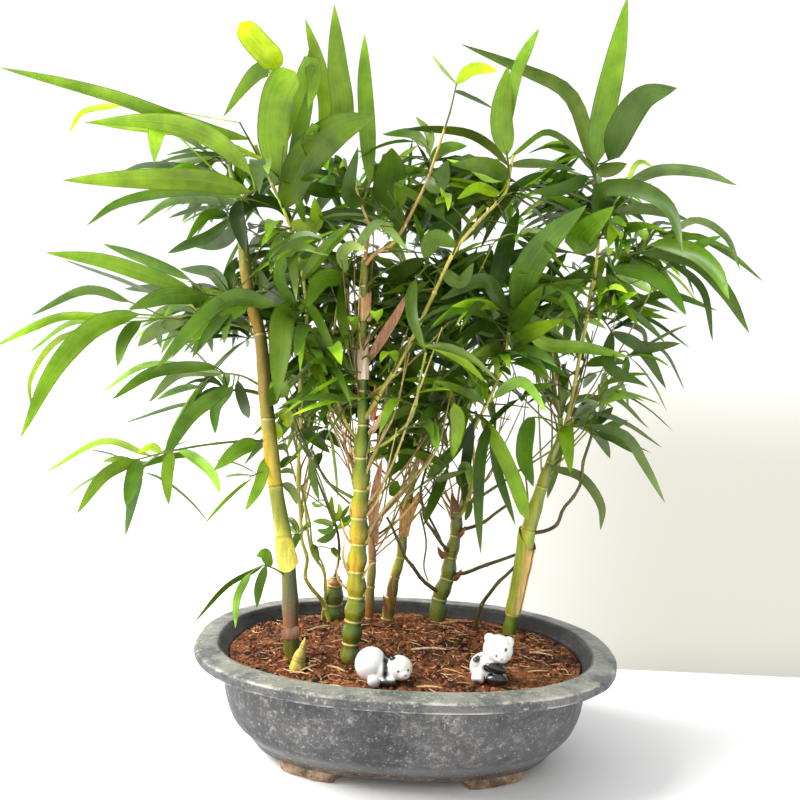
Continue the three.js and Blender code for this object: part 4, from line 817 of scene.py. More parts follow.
# (name, what it grows from, twig radius, twig rows, one tone for each leaf, leaves). A leaf is
# [visible width, depth of its tip, u1, v1, u2, v2, ...] from the foot of its blade to its tip.
sprays = [
    ("spray_crown_left", "cane_slender_left", 1.1, [[-128, 462, -8], [-141, 484, -16], [-152, 502, -20]], "bY", [
        [10, -77, -150, 486, -172, 494, -205, 503, -250, 517, -300, 528, -344, 536],
        [4.5, -10, -244, 512, -262, 510, -279, 504, -288, 487],
    ]),
    ("spray_crown_broad", "cane_slender_left", 1.1,
     [[-115, 436, -4], [-118, 452, -16], [-121, 470, -22]], "bbmybY", [
        [24, -60, -122, 454, -125, 492, -121, 528, -109, 544], [12, -20, -100, 562, -97, 552, -94, 538, -98, 515],
        [12, 20, -112, 470, -101, 512, -97.5, 567], [5, -60, -128, 470, -180, 490, -235, 494, -270, 496],
        [12, -10, -125, 538, -129, 545, -138, 543, -149, 531, -165, 506],
        [19, -40, -124, 544, -128, 552, -140, 564, -155, 580],
    ]),
    ("spray_left_long", "culm_tall_left", 1.3, [[-151, 438, 0], [-146, 444, -20], [-138, 450, -30]], "blmdglk", [
        [16, -84, -140, 446, -180, 455, -230, 454, -292, 450],
        [15, -60, -142, 462, -166, 484, -191, 496, -223, 500, -276, 496],
        [8, -40, -150, 446, -180, 448, -215, 444, -250, 433, -272, 415],
        [5, 10, -160, 458, -195, 466, -228, 465, -246, 458], [7, 30, -150, 440, -182, 441, -207, 437, -232, 417],
        [15, -64, -206, 494, -213, 499, -218, 491, -219, 467],
        [11, -34, -149, 441, -152, 428, -148, 414, -143, 398],
    ]),
    ("spray_left_inner", "culm_tall_left", 1.2, [[-147, 416, -6], [-154, 424, 8], [-160, 428, 20]], "mddd", [
        [8, -20, -160, 430, -176, 428, -192, 406], [9, 40, -158, 424, -172, 412, -190, 404, -206, 396],
        [12, 60, -152, 418, -165, 407, -187, 403], [10, 70, -156, 420, -140, 440, -118, 438, -104, 420],
    ]),
    ("spray_crown_tall", "cane_slender_left", 1.2, [[-108, 424, -2], [-98, 450, 2], [-86, 474, 6]], "bbmld", [
        [13, 10, -88, 476, -83, 515, -91, 550, -103, 585], [18, -30, -77, 470, -71, 508, -76, 550, -80.5, 597],
        [27, -70, -112, 436, -98, 476, -74, 500, -44, 512], [12, -50, -94, 404, -89, 425, -90, 446],
        [12, 50, -100, 452, -84, 452, -66, 448],
    ]),
    ("spray_bellied_top", "branch_top_left", 1.1, [[-52, 441, -14], [-47, 456, -4], [-44, 468, 2]], "bddm", [
        [13, 12, -45, 458, -50, 500, -54, 540, -55.5, 575], [24, -70, -36, 440, -30, 466, -30, 488],
        [11, -52, -60, 414, -63, 450, -57, 487], [14, 30, -48, 455, -34, 448, -22, 430, -16, 408],
    ]),
    ("spray_centre_top", "branch_top_right", 1.0, [[1, 466, -26], [2, 476, -10], [0, 486, 4]], "dmmbm", [
        [16, -38, 2, 442, 8, 462, 15, 480], [7, 40, 4, 484, 0, 500, -12, 513], [8, 60, -2, 490, -14, 500, -38, 498],
        [9, 40, 4, 482, 14, 490, 30, 492], [8, -20, -4, 470, -20, 470, -34, 462],
    ]),
    ("spray_centre_tip", "branch_top_right", 0.9, [[11, 504, -19], [15, 518, -20], [19, 540, -22]], "Ydp", [
        [9, -40, 20, 542, 29, 551, 40, 553, 51, 551], [3, 30, 18, 534, 34, 528, 50, 522],
        [2, -40, 17, 545, 8, 552, -2, 562],
    ]),
    ("spray_right_centre", "cane_main", 1.1, [[65, 468, -14], [63, 482, -18], [60, 496, -20]], "bbooPgy", [
        [17, -34, 62, 486, 56, 515, 59, 556], [9, -60, 66, 498, 66, 550, 73, 568, 82, 586],
        [7, 30, 62, 478, 50, 492, 30, 502, 0, 504, -20, 503], [13, -60, 62, 466, 46, 477, 18, 477],
        [6, -40, 62, 462, 48, 468, 34, 476, 14, 481], [7, 40, 66, 478, 90, 480, 118, 477],
        [8, -50, 58, 456, 40, 460, 24, 450],
    ]),
    ("spray_right_crown", "cane_golden_right", 1.2, [[137, 452, 17], [134, 468, 14], [133, 482, 12]], "bdogod", [
        [19, -20, 136, 482, 136, 515, 143, 560, 150.5, 614], [22, -40, 143, 486, 152, 512, 168, 536, 194, 545],
        [12, 50, 132, 470, 126, 500, 108, 537, 70, 554, 21, 571],
        [5, 30, 129, 474, 113, 498, 92, 507, 72, 492, 62, 482], [11, 0, 134, 477, 146, 479, 158, 484],
        [10, -50, 128, 472, 108, 462, 84, 458],
    ]),
    ("spray_right_upper", "cane_golden_right", 1.2, [[139, 424, 19], [146, 436, 6], [150, 452, -4]], "gdomy", [
        [9, 30, 156, 463, 181, 479, 217, 480, 247, 471],
        [13, -60, 116, 445, 138, 461, 170, 464, 195, 449, 207, 415], [9, 60, 148, 446, 178, 449, 210, 442],
        [22, -70, 112, 400, 124, 424, 150, 450], [4, 60, 158, 464, 168, 484, 180, 482],
    ]),
    ("spray_right_drooping", "cane_golden_right", 1.2,
     [[138.5, 408, 21], [152, 412, 24], [172, 414, 28]], "dmgompdd", [
        [12, -20, 178, 414, 214, 411, 242, 388, 265, 354], [13, -50, 181, 421, 213, 418, 234, 403, 247, 380],
        [6, 50, 184, 418, 214, 441, 240, 430, 254, 404], [6, 90, 186, 416, 214, 428, 244, 416, 273, 396],
        [12, -10, 150, 402, 178, 398, 200, 384, 213, 366], [8, 60, 152, 400, 170, 391, 187, 382],
        [4, 70, 170, 418, 184, 437, 200, 438], [6, 10, 196, 408, 224, 388, 236, 346],
    ]),
    ("spray_right_low", "cane_golden_right", 1.1, [[134, 366, 27], [146, 360, 32], [154, 350, 38]], "dddddd", [
        [7, 70, 154, 358, 192, 381, 238, 371], [10, 40, 150, 342, 178, 338, 201, 306],
        [5, 90, 158, 356, 178, 352, 184, 336], [4, 60, 150, 348, 178, 362, 218, 340],
        [10, 10, 128, 328, 154, 322, 184, 308], [3, 100, 168, 344, 196, 336, 216, 306],
    ]),
    ("spray_centre_right", "cane_right_inner", 1.2, [[71, 346, 12], [76, 356, 0], [80, 366, -8]], "mbmdbdd", [
        [22, -60, 74, 360, 82, 392, 98, 420, 128, 450], [13, -70, 72, 336, 88, 346, 114, 358],
        [14, -40, 74, 346, 84, 364, 97, 385], [12, -44, 68, 362, 50, 386, 14, 369],
        [11, 30, 84, 352, 100, 338, 134, 336, 171, 330], [15, 50, 62, 376, 64, 410, 74, 444],
        [12, 40, 62, 346, 48, 352, 34, 334],
    ]),
    ("spray_centre", "cane_main", 1.1, [[17, 392, -31], [8, 396, -26], [0, 402, -20]], "mmddm", [
        [14, -20, -6, 408, 8, 418, 27, 412], [9, -60, -6, 384, -8, 358, 5, 326], [12, 20, 2, 408, 10, 424, 36, 444],
        [12, 30, -2, 398, -20, 388, -34, 368], [10, -50, 12, 394, 30, 384, 40, 400],
    ]),
    ("spray_left_middle", "culm_tall_left", 1.2,
     [[-136, 358, -14], [-152, 362, -22], [-172, 362, -28]], "bmddmdd", [
        [12, -60, -184, 366, -222, 378, -260, 388, -304, 392], [8, 10, -188, 376, -224, 391, -258, 401],
        [3, 30, -200, 360, -244, 374, -290, 387], [8, 40, -178, 360, -210, 367, -240, 366],
        [13, -70, -172, 356, -205, 362, -236, 350], [10, 60, -158, 366, -170, 382, -196, 384],
        [9, 50, -150, 362, -156, 380, -150, 396],
    ]),
    ("spray_left_big", "culm_tall_left", 1.3, [[-131, 340, -16], [-165, 342, -30], [-205, 344, -44]], "bmlblmm", [
        [14, -110, -228, 346, -262, 335, -294, 300, -322, 240], [7, -20, -236, 356, -270, 364, -315, 341],
        [6, -80, -240, 343, -290, 342, -316, 331, -343, 315], [4, -30, -236, 340, -282, 338, -316, 311],
        [4, -90, -240, 338, -292, 324, -315, 290, -313, 266], [9, -90, -226, 340, -239, 326, -244, 303],
        [11, 10, -190, 340, -214, 334, -228, 320],
    ]),
    ("spray_left_lower", "culm_tall_left", 1.2, [[-124, 292, -20], [-142, 300, -10], [-158, 302, 0]], "mgdmmpd", [
        [9, -60, -164, 306, -214, 300, -248, 276], [9, 20, -164, 303, -194, 300, -218, 275],
        [3, 50, -160, 286, -200, 273, -238, 257], [12, -40, -154, 292, -184, 266, -206, 226],
        [9, 30, -150, 292, -163, 274, -163, 252], [5, -50, -158, 304, -220, 306, -257, 281],
        [9, 60, -146, 296, -140, 276, -136, 266],
    ]),
    ("spray_left_hanging", "culm_tall_left", 1.2,
     [[-118, 248, -24], [-150, 246, -34], [-192, 238, -46], [-226, 228, -56]], "bmlbpbbl", [
        [9, -90, -232, 226, -252, 214, -274, 181], [12, -80, -224, 224, -229, 210, -234, 189],
        [5, -60, -216, 238, -252, 243, -302, 213], [9, -60, -198, 236, -201, 218, -199, 192],
        [8, -10, -192, 232, -178, 230, -164, 218, -157, 203], [12, -50, -128, 245, -144, 240, -163, 222],
        [9, -46, -122, 234, -125, 214, -136, 190], [6, -66, -206, 232, -214, 240, -226, 234],
    ]),
    ("spray_pale_middle", "cane_slender_left", 1.1, [[-93, 352, 6], [-101, 356, -14], [-106, 356, -26]], "mmmd", [
        [18, -80, -98, 359, -111, 350, -113, 319, -114, 281], [14, -70, -118, 358, -150, 363, -180, 342, -213, 302],
        [9, -60, -98, 362, -116, 382, -104, 406, -76, 400], [10, 30, -108, 360, -126, 372, -138, 396],
    ]),
    ("spray_fan_top", "branch_fan", 1.0, [[-66, 374, 4], [-62, 386, -12], [-58, 401, -20]], "ppmmd", [
        [9, -50, -65, 388, -66, 402, -58, 409, -46, 405], [7, -44, -60, 404, -38, 427, -11, 405],
        [14, -60, -64, 384, -82, 380, -92, 358], [8, -50, -66, 378, -64, 350, -58, 325],
        [11, 40, -62, 392, -46, 380, -26, 384],
    ]),
    ("spray_inner_right", "cane_right_inner", 1.1, [[52, 277, 28], [44, 280, 20], [38, 284, 14]], "bdddkbp", [
        [13, -14, 37, 286, 34, 266, 31, 241], [7, 50, 50, 276, 34, 250, 14, 222],
        [9, -40, 58, 272, 54, 246, 54, 204, 58, 164], [8, 20, 60, 268, 68, 232, 85, 189],
        [9, 60, 46, 270, 42, 234, 42, 204], [12, 0, 53, 276, 66, 256, 82, 226, 95, 193],
        [9, -30, 62, 292, 84, 306, 106, 282],
    ]),
    ("spray_sheathed_top", "cane_golden_right", 1.1,
     [[121, 271, 46], [130, 272, 32], [141, 274, 26]], "bgdggdmog", [
        [13, 0, 112, 282, 122, 266, 128, 233], [8, -20, 140, 271, 170, 266, 188, 242, 206, 213],
        [7, 30, 146, 268, 162, 262, 179, 252], [5, 60, 132, 284, 156, 298, 189, 273],
        [4, 80, 140, 282, 168, 277, 201, 258], [9, 60, 141, 270, 150, 280, 159, 289],
        [14, 10, 96, 278, 89, 248, 98, 221], [8, 70, 118, 262, 114, 236, 110, 212],
        [8, 20, 110, 240, 136, 231, 154, 208, 155, 188],
    ]),
    ("spray_left_foot", "culm_tall_left", 0.9, [[-99.5, 136, -30], [-110, 143, -40], [-120, 146, -46]], "mmpd", [
        [8, -56, -112, 152, -119, 156, -126, 153], [7, -60, -118, 143, -123, 128, -124, 110],
        [6, -62, -130, 139, -141, 118, -141, 92], [4, -20, -122, 144, -150, 128, -175, 95],
    ]),
]


def facing(lean):
    # The width lies across the line of sight, and leans round the leaf by the angle.
    def across(tangents, centres):
        flat = unit(np.cross(tangents, unit(viewpoint - centres)))
        return flat * math.cos(lean) + unit(np.cross(flat, tangents)) * math.sin(lean)
    return across


def leafCurve(twig, leaf):
    # The leaf's line, and the share of it that is stalk. A foot close to the twig, or a stalk that
    # would turn back, gives a leaf without one.
    tipDepth = leaf[1]
    pairs = np.array(leaf[2:], float).reshape(-1, 2)
    start = nearestOn(twig, *pairs[0])
    t = (np.arange(len(pairs)) + 0.25) / (len(pairs) - 0.75)
    points = spots(np.column_stack([pairs, start[1] + (tipDepth - start[1]) * t]))
    stalk, onward = points[0] - start, points[1] - points[0]
    if np.linalg.norm(stalk) < blades["nearTwig"] or unit(stalk) @ unit(onward) < blades["turnedBack"]:
        return np.vstack([start, points[1:]]), 0.0
    return np.vstack([start, points]), 1 / len(points)


# Leaves seen folded over, which end broad and blunt: (spray, number of the leaf).
straps = {("spray_crown_broad", 5), ("spray_crown_broad", 0), ("spray_inner_right", 5)}
twigLook = {"colours": ((120, 132, 52), (140, 160, 62)), "ring": (160, 150, 84), "internode": 14.0}
leafCount = 0
shown = []
for index, (name, anchor, radius, rows, leafTones, leaves) in enumerate(sprays):
    shells = [stemShell(name, rooted(anchor, rows), radius, radius * 0.6, twigLook["colours"], twigLook["ring"],
                        twigLook["internode"], 300 + index, 7)]
    for number, (leaf, tone) in enumerate(zip(leaves, leafTones)):
        seed = 1000 * index + number
        width = max(leaf[0], blades["narrowest"])
        curve, foot = leafCurve(stems[name], leaf)
        if leaf[0] > 6:
            shown.append(curveAt(curve, evenly(9, foot)))
        colour = toneColour(tone, np.random.default_rng(seed))
        shells.append(bladeShell(curve, foot, width, facing(math.acos(leaf[0] / width)), colour, blades["stations"],
                                 seed, strap=(name, number) in straps))
        leafCount += 1
    makePiece(name + "_leaves", shells, leafSkin, [name])
print("sprays grown:", len(sprays), "with leaves:", leafCount)

# Fine stems between the culms: rows of (u, v), depth, radius, screen colour.
thinStems = [
    ([(-106, 279), (-100, 261), (-91, 244), (-80, 227), (-70, 203), (-62, 182)], -20, 1.0, (96, 112, 46)),
    ([(-92, 257), (-83, 236), (-65, 212), (-51, 200)], -22, 1.3, (70, 92, 44)),
    ([(-36, 171), (-28, 186), (-15, 204), (-7, 218), (4, 240), (5, 260)], 40, 1.5, (176, 138, 100)),
    ([(3, 195), (13, 171), (12, 150), (16, 139)], 60, 1.0, (76, 92, 50)),
    ([(-88, 210), (-83, 182), (-80, 164), (-70, 146), (-69, 127)], 10, 1.0, (120, 136, 60)),
    ([(-38, 238), (-27, 249), (-13, 261), (-2, 277), (1, 297)], 10, 1.1, (176, 132, 96)),
    ([(-50, 252), (-62, 269), (-72, 283), (-83, 300)], -10, 1.2, (140, 128, 84)),
    ([(-52, 249), (-64, 263), (-69, 278), (-71, 300)], 6, 1.1, (168, 146, 96)),
    ([(5, 205), (24, 175), (29, 163)], 70, 1.3, (80, 78, 52)),
    ([(13, 219), (21, 204), (26, 199)], 70, 0.9, (84, 70, 56)),
    ([(-25, 257), (-22, 273), (-15, 289), (-14, 303)], 20, 0.9, (190, 196, 130)),
    ([(-23, 272), (-29, 284), (-35, 302)], 16, 0.8, (196, 190, 140)),
    ([(18, 196), (20, 240), (24, 259), (27, 274)], 50, 0.8, (90, 104, 60)),
    ([(-10, 218), (-3, 232), (4, 240), (11, 289), (21, 298)], 45, 1.0, (150, 150, 80)),
    ([(-80, 272), (-68, 263), (-54, 237), (-49, 228)], 14, 0.9, (60, 78, 40)),
    ([(-93, 265), (-81, 252), (-65, 243), (-53, 228)], 24, 0.8, (70, 84, 44)),
    ([(-65, 301), (-66, 287), (-62, 273)], 0, 1.0, (186, 160, 104)),
    ([(-93, 299), (-93, 286), (-94, 270)], -5, 0.9, (170, 176, 90)),
]
# Small leaves in the thicket: tone, width, depth, then u and v from foot to tip.
smallLeaves = [
    ("d", 9, -8, -92, 257, -81, 251, -69, 241), ("k", 8, 0, -81, 255, -70, 255, -60, 245),
    ("d", 7, 10, -83, 226, -79, 236, -75, 240), ("m", 6, -20, -83, 236, -82, 220, -76, 201),
    ("g", 7, -22, -107, 214, -99, 209, -94, 197), ("d", 6, -14, -109, 227, -104, 233, -95, 237),
    ("g", 6, -10, -112, 242, -107, 244, -104, 240), ("g", 4, -12, -109, 223, -102, 225, -97, 222),
    ("b", 4, -20, -62, 182, -66, 197, -66, 206), ("m", 4, -12, -62, 185, -56, 191, -51, 199),
    ("l", 4, -24, -62, 186, -59, 193, -60, 200), ("m", 4, -16, -61, 187, -54, 187, -47, 193),
    ("b", 5, -20, -63, 181, -72, 184, -81, 184), ("m", 5, -26, -64, 180, -69, 176, -77, 177),
    ("m", 6, -14, -61, 179, -69, 170, -77, 168), ("l", 5, -10, -60, 179, -54, 184, -48, 189),
    ("g", 5, -6, -92, 174, -97, 183, -102, 186), ("b", 4, -8, -92, 173, -97, 177, -103, 177),
    ("m", 6, -8, -90, 173, -94, 168, -96, 158), ("g", 6, 8, -80, 165, -78, 160, -74, 151),
    ("m", 5, -5, -65, 162, -62, 160, -56, 153), ("l", 4, 0, -83, 183, -87, 178, -91, 175),
    ("p", 3, -5, -82, 199, -78, 197, -71, 198), ("m", 10, 30, -13, 208, -15, 213, -13, 221),
    ("o", 6, 20, 18, 222, 26, 226, 43, 232), ("m", 8, 44, 11, 224, 24, 241, 44, 262),
    ("m", 8, 30, 36, 232, 43, 235, 46, 219), ("b", 11, -40, 30, 286, 34, 271, 32, 243),
    ("o", 8, 10, 17, 271, 7, 281, 1, 295), ("m", 6, 10, 1, 293, 11, 292, 21, 293),
    ("d", 9, 12, -56, 275, -56, 287, -63, 296), ("m", 9, 20, -55, 265, -60, 276, -61, 287),
    ("d", 9, 30, -47, 288, -51, 281, -55, 271), ("o", 10, 40, -30, 274, -27, 254, -31, 238),
    ("m", 10, 44, -21, 268, -16, 255, -15, 239), ("o", 8, 40, -24, 248, -18, 236, -9, 229),
    ("d", 12, 44, -3, 258, -8, 244, -10, 228), ("o", 12, 40, 6, 274, 3, 258, 2, 242),
    ("y", 12, -30, -112, 271, -106, 269, -104, 260), ("y", 8, -20, -116, 264, -112, 255, -114, 250),
    ("d", 5, 40, 40, 218, 37, 225, 36, 232), ("d", 5, 40, 44, 191, 47, 202, 47, 207),
    ("b", 14, -30, -105, 285, -113, 292, -119, 297), ("m", 10, -50, -119, 277, -117, 286, -113, 295),
]
# Tufts of small leaves: (u, v, depth) of the middle of each.
tufts = [
    (-218, 326, 20), (-200, 383, -30), (-183, 479, 30), (-219, 212, -20), (-192, 278, 10), (-148, 215, -50),
    (-78, 259, -10), (-17, 254, 10), (-10, 287, -20), (-55, 285, -40), (-97, 323, -50), (18, 304, -30),
    (41, 314, 20), (69, 258, -30), (83, 291, 30), (116, 293, 40), (148, 302, 30), (114, 325, -40), (39, 370, -60),
    (150, 262, 40), (8, 344, 50), (159, 376, -30), (197, 409, 40), (-13, 439, -30), (-101, 419, -40),
    (-140, 394, -40), (-170, 336, -60), (-152, 272, 30), (53, 411, -40), (92, 428, -30), (128, 350, -50),
    (178, 328, 40), (18, 449, 40), (-69, 429, -40), (-31, 478, 30), (104, 500, 50), (202, 457, 50), (-57, 341, -50),
    (-32, 318, -30), (0, 247, 30), (29, 232, 40), (107, 235, 30), (58, 451, 20), (-122, 363, 40), (-146, 329, 30),
    (-87, 283, 30), (-72, 308, -20), (-3, 392, -40), (52, 274, 0), (86, 388, -50), (-7, 471, -30), (-24, 502, 20),
    (20, 417, -50), (134, 399, -60), (172, 424, -50), (147, 439, -30), (-51, 382, 40),
]
thicket = {"leaves": 8, "length": (34, 70), "width": (5.0, 9.5), "tones": "mmdbdlmdbomdg", "clear": 6.0, "fan": 120,
           "ring": (200, 180, 130), "fanRing": (214, 190, 140), "twig": (128, 140, 62), "stalk": (110, 116, 58),
           "stalkReach": (3, 45), "farthest": (300, 120)}
# The fan of bare stems: what they rise from in turn, and their screen colours.
fanStems = ("culm_bellied", "culm_bellied", "culm_thin", "culm_middle", "culm_cut", "cane_slender_left",
            "culm_sheathed")
fanColours = ((206, 188, 116), (150, 150, 70), (112, 120, 58), (176, 128, 92), (220, 200, 140), (150, 112, 74))


def stemCentres():
    # The middle lines of all stems but the shoot.
    return np.vstack([stem["centres"] for key, stem in stems.items() if key != "shoot"])


def nearestStem(target):
    # The stem point with the least distance, where depth counts 0.6 times and height 1.2 times.
    centres = stemCentres()
    away = (centres - target) * (1, 0.6, 1.2)
    return centres[(away**2).sum(1).argmin()]


def twiglet(points, count, foot, tip, colour):
    # A thin tube that tapers evenly from foot to tip.
    return tube(points, evenly(count), evenly(count, foot, tip), linear(*colour), 5)


def fanStem(number):
    # A stem that climbs from a culm, sways to one side and mostly back, and thins to its top.
    source = np.random.default_rng(760 + number)
    centres = stems[fanStems[number % len(fanStems)]]["centres"]
    centres = centres[(centres[:, 2] > min(170, centres[-1, 2] - 20)) & (centres[:, 2] < 330)]
    start = centres[source.integers(len(centres))]
    climb = source.uniform(60, 150)
    aside = source.normal(0, 0.42) * climb
    sway = np.array([aside, np.clip(source.normal(0.25, 0.3), -0.2, 0.7) * climb * 0.7, climb])
    points = [start, start + sway * (0.35, 0.35, 0.25) + source.normal(0, 2, 3),
              start + sway * (0.75, 0.7, 0.6) + source.normal(0, 3, 3), start + sway]
    colours = [fanColours[source.integers(len(fanColours))] for _ in range(2)]
    return stemShell("fan_stem_" + str(number), points, source.uniform(0.8, 1.4), 0.5, colours, thicket["fanRing"],
                     source.uniform(14, 26), 760 + number, 6)


def thinStem(number, line, depth, radius, colour):
    # A jointed stem whose foot is drawn six tenths of the way to the nearest stem.
    points = spots([(u, v, depth) for u, v in line])
    points[0] = nearestStem(points[0]) * 0.6 + points[0] * 0.4
    paler = tuple(min(255, int(c * 1.15)) for c in colour)
    return stemShell("thin_stem_" + str(number + 1), points, radius * 1.1, radius * 0.6, (colour, paler),
                     thicket["ring"], 22.0, 700 + number, 6)


def smallLeaf(number, tone, width, depth, *flat):
    # A blade, with a stalk where its foot is away from the nearest stem but not far off.
    pairs = np.array(flat, float).reshape(-1, 2)
    points = spots(np.column_stack([pairs, depth + evenly(len(pairs), -3, 8)]))
    start = nearestStem(points[0])
    shells = []
    nearest, farthest = thicket["stalkReach"]
    if nearest < np.linalg.norm(points[0] - start) < farthest:
        middle = (start + points[0]) / 2 + (0, 0, 1.5)
        shells.append(twiglet([start, middle, points[0]], 5, 0.6, 0.4, thicket["stalk"]))
    source = np.random.default_rng(800 + number)
    lean = facing(source.normal(0, 0.3))
    return [*shells, bladeShell(points, 0.0, width, lean, toneColour(tone, source), 12, 800 + number)]


def leafTuft(number, place):
    # A twiglet from the nearest stem, with leaves that spread to all sides of it.
    source = np.random.default_rng(900 + number)
    middle = spots([place])[0]
    start = nearestStem(middle)
    heading = unit(middle - start + source.normal(0, 4, 3))
    end = start + (middle - start) * 0.6
    shells = [twiglet([start, (start + end) / 2 + (0, 0, 3), end], 6, 0.9, 0.5, thicket["twig"])]
    level = unit(np.array([heading[0], heading[1] * 0.8, 0.2 * heading[2]]) + 1e-6)
    for leaf in range(thicket["leaves"]):
        turn, tilt = source.uniform(-1.9, 1.9), source.uniform(-0.7, 0.7)
        c, s = math.cos(turn), math.sin(turn)
        way = np.array([level[0] * c - level[1] * s, level[0] * s * 0.7 + level[1] * c, tilt])
        foot = start + (end - start) * source.uniform(0.55, 1.0)
        length = source.uniform(*thicket["length"])
        line = drooping(foot, unit(way), length, source.uniform(0.1, 0.5))
        if (np.abs(line[-1, :2]) > thicket["farthest"]).any() or covers(line):
            continue
        tone = thicket["tones"][source.integers(len(thicket["tones"]))]
        width, roll = source.uniform(*thicket["width"]), source.normal(0, 0.6)
        shells.append(bladeShell(line, 0.05, width, lying(roll), toneColour(tone, source), 8, 900 + number * 10 + leaf))
    return shells


def growThicket():
    shells = [thinStem(number, *row) for number, row in enumerate(thinStems)]
    shells += [fanStem(number) for number in range(thicket["fan"])]
    makePiece("thicket_stems", shells, caneSkin, sharp=0)
    shells = [shell for number, row in enumerate(smallLeaves) for shell in smallLeaf(number, *row)]
    makePiece("thicket_leaves", shells, leafSkin)
    shells = [shell for number, place in enumerate(tufts) for shell in leafTuft(number, place)]
    makePiece("thicket_tufts", shells, leafSkin)


# The inner crown: clusters of leaves on twiglets that leave the canes and twigs to the front and
# back. zones are ellipses of the crown: (u, v, half width, half height, number of clusters).
innerCrown = {
    "length": (52, 106), "width": (6.0, 11.0), "farthest": 118, "lowest": 222, "tones": "mmmddbbomdlbmd",
    "places": (0.3, 0.45, 0.6, 0.75, 0.9, 1.0), "twig": (118, 132, 54), "front": 0.64,
    "zones": [
        (-168, 448, 58, 40, 12), (-74, 458, 52, 56, 16), (10, 446, 66, 42, 28), (122, 448, 66, 36, 15),
        (172, 395, 58, 42, 14), (-190, 345, 62, 34, 12), (-80, 372, 84, 64, 34), (92, 370, 84, 64, 34),
        (140, 300, 46, 40, 10), (12, 290, 62, 54, 20), (-70, 300, 60, 46, 20), (0, 370, 60, 50, 22),
        (30, 330, 100, 46, 26),
    ],
}


def drooping(start, heading, length, droop, count=5):
    # A leaf's line: straight on along its heading, with a sag that grows with the square of the way.
    t = evenly(count)[:, None]
    return start + heading * length * t + np.array([0, 0, -1.0]) * droop * length * t**2


def lying(roll):
    # The width lies level, turned about the leaf's own line by roll.
    def across(tangents, centres):
        level = unit(np.cross(tangents, (0, 0, 1.0)))
        return level * math.cos(roll) + np.cross(level, tangents) * math.sin(roll)
    return across


def covers(points):
    # Whether a leaf's line hides a large leaf or a stem that stands behind it.
    points = curveAt(points, evenly(12, 0.15))
    near = ((seenAt(points)[:, None] - sight[None, :, :2]) ** 2).sum(-1) < thicket["clear"] ** 2
    return (near & (points[:, None, 1] < sight[None, :, 2] - 3)).any()


def insideZone(points, zone, margin=1.0):
    # Whether points show inside the zone's ellipse: across and up over its half axes, squared, add
    # up to less than one.
    seen = seenAt(points)
    return (((seen[:, :2] - zone[:2]) / (zone[2] * margin, zone[3] * margin)) ** 2).sum(1) < 1


def crownTwig(choices, zone):
    # A twiglet that stays inside the crown, at the last of thirty tries if none does.
    start = choices[rng.integers(len(choices))]
    depthSign = rng.choice([-1, 1], p=(1 - innerCrown["front"], innerCrown["front"]))
    for _ in range(30):
        heading = unit(np.array([rng.normal(0, 0.6), depthSign * rng.uniform(0.45, 1.2), rng.uniform(-0.1, 0.8)]))
        length = rng.uniform(30, 62)
        end = start + heading * length
        if abs(end[1]) < innerCrown["farthest"] - 30 and insideZone(end[None], zone, 1.15).all():
            break
    return heading, drooping(start, heading, length, 0.12, 4)


def crownLeafLine(foot, heading, side, zone):
    # A leaf's line to one side, or straight on with side 0, that stays in its zone and hides nothing.
    for _ in range(24):
        turn = side * rng.uniform(0.35, 1.0) if side else rng.uniform(-0.2, 0.2)
        c, s = math.cos(turn), math.sin(turn)
        way = unit(np.array([heading[0] * c - heading[1] * s, heading[0] * s + heading[1] * c,
                             heading[2] * 0.4 + rng.uniform(-0.75, 0.45)]))
        length = rng.uniform(*innerCrown["length"])
        line = drooping(foot, way, length, rng.uniform(0.1, 0.7))
        if abs(line[-1, 1]) < innerCrown["farthest"] and insideZone(line[2:], zone).all() and not covers(line):
            return line
    return None


def growInnerCrown():
    # Leaves stand along each twiglet to alternate sides, and the last goes straight on.
    centres = stemCentres()
    centres = centres[centres[:, 2] > innerCrown["lowest"]]
    total = 0
    for number, zone in enumerate(innerCrown["zones"]):
        choices = centres[insideZone(centres, zone)]
        shells = []
        for cluster in range(zone[4]):
            heading, twig = crownTwig(choices, zone)
            seed = 5000 + number * 100 + cluster
            shells.append(twiglet(twig, 5, 0.8, 0.45, innerCrown["twig"]))
            for leaf, place in enumerate(innerCrown["places"]):
                line = crownLeafLine(curveAt(twig, [place])[0], heading, (-1) ** leaf if place < 1 else 0, zone)
                if line is None:
                    continue
                tone = innerCrown["tones"][rng.integers(len(innerCrown["tones"]))]
                width, roll = rng.uniform(*innerCrown["width"]), rng.normal(0, 0.75)
                colour = toneColour(tone, np.random.default_rng(seed * 10 + leaf))
                shells.append(bladeShell(line, 0.06, width, lying(roll), colour, 8, seed * 10 + leaf))
                total += 1
        makePiece("inner_crown_" + str(number + 1), shells, leafSkin)
    print("inner crown leaves:", total)


# What the small leaves keep clear of: the large leaves, the front stems and the dry blade.
for name in ("culm_tall_left", "culm_bellied", "culm_sheathed", "cane_main", "branch_top_left", "branch_top_right",
             "branch_pale", "cane_golden_right"):
    shown.append(stems[name]["centres"])
shown = np.vstack([*shown, curveAt(spots([(-41, 316, -25.5), (-29, 338, -30), (-11, 375, -34)]), evenly(12))])
sight = np.column_stack([seenAt(shown), shown[:, 1]])
growInnerCrown()
growThicket()
print("thicket grown")

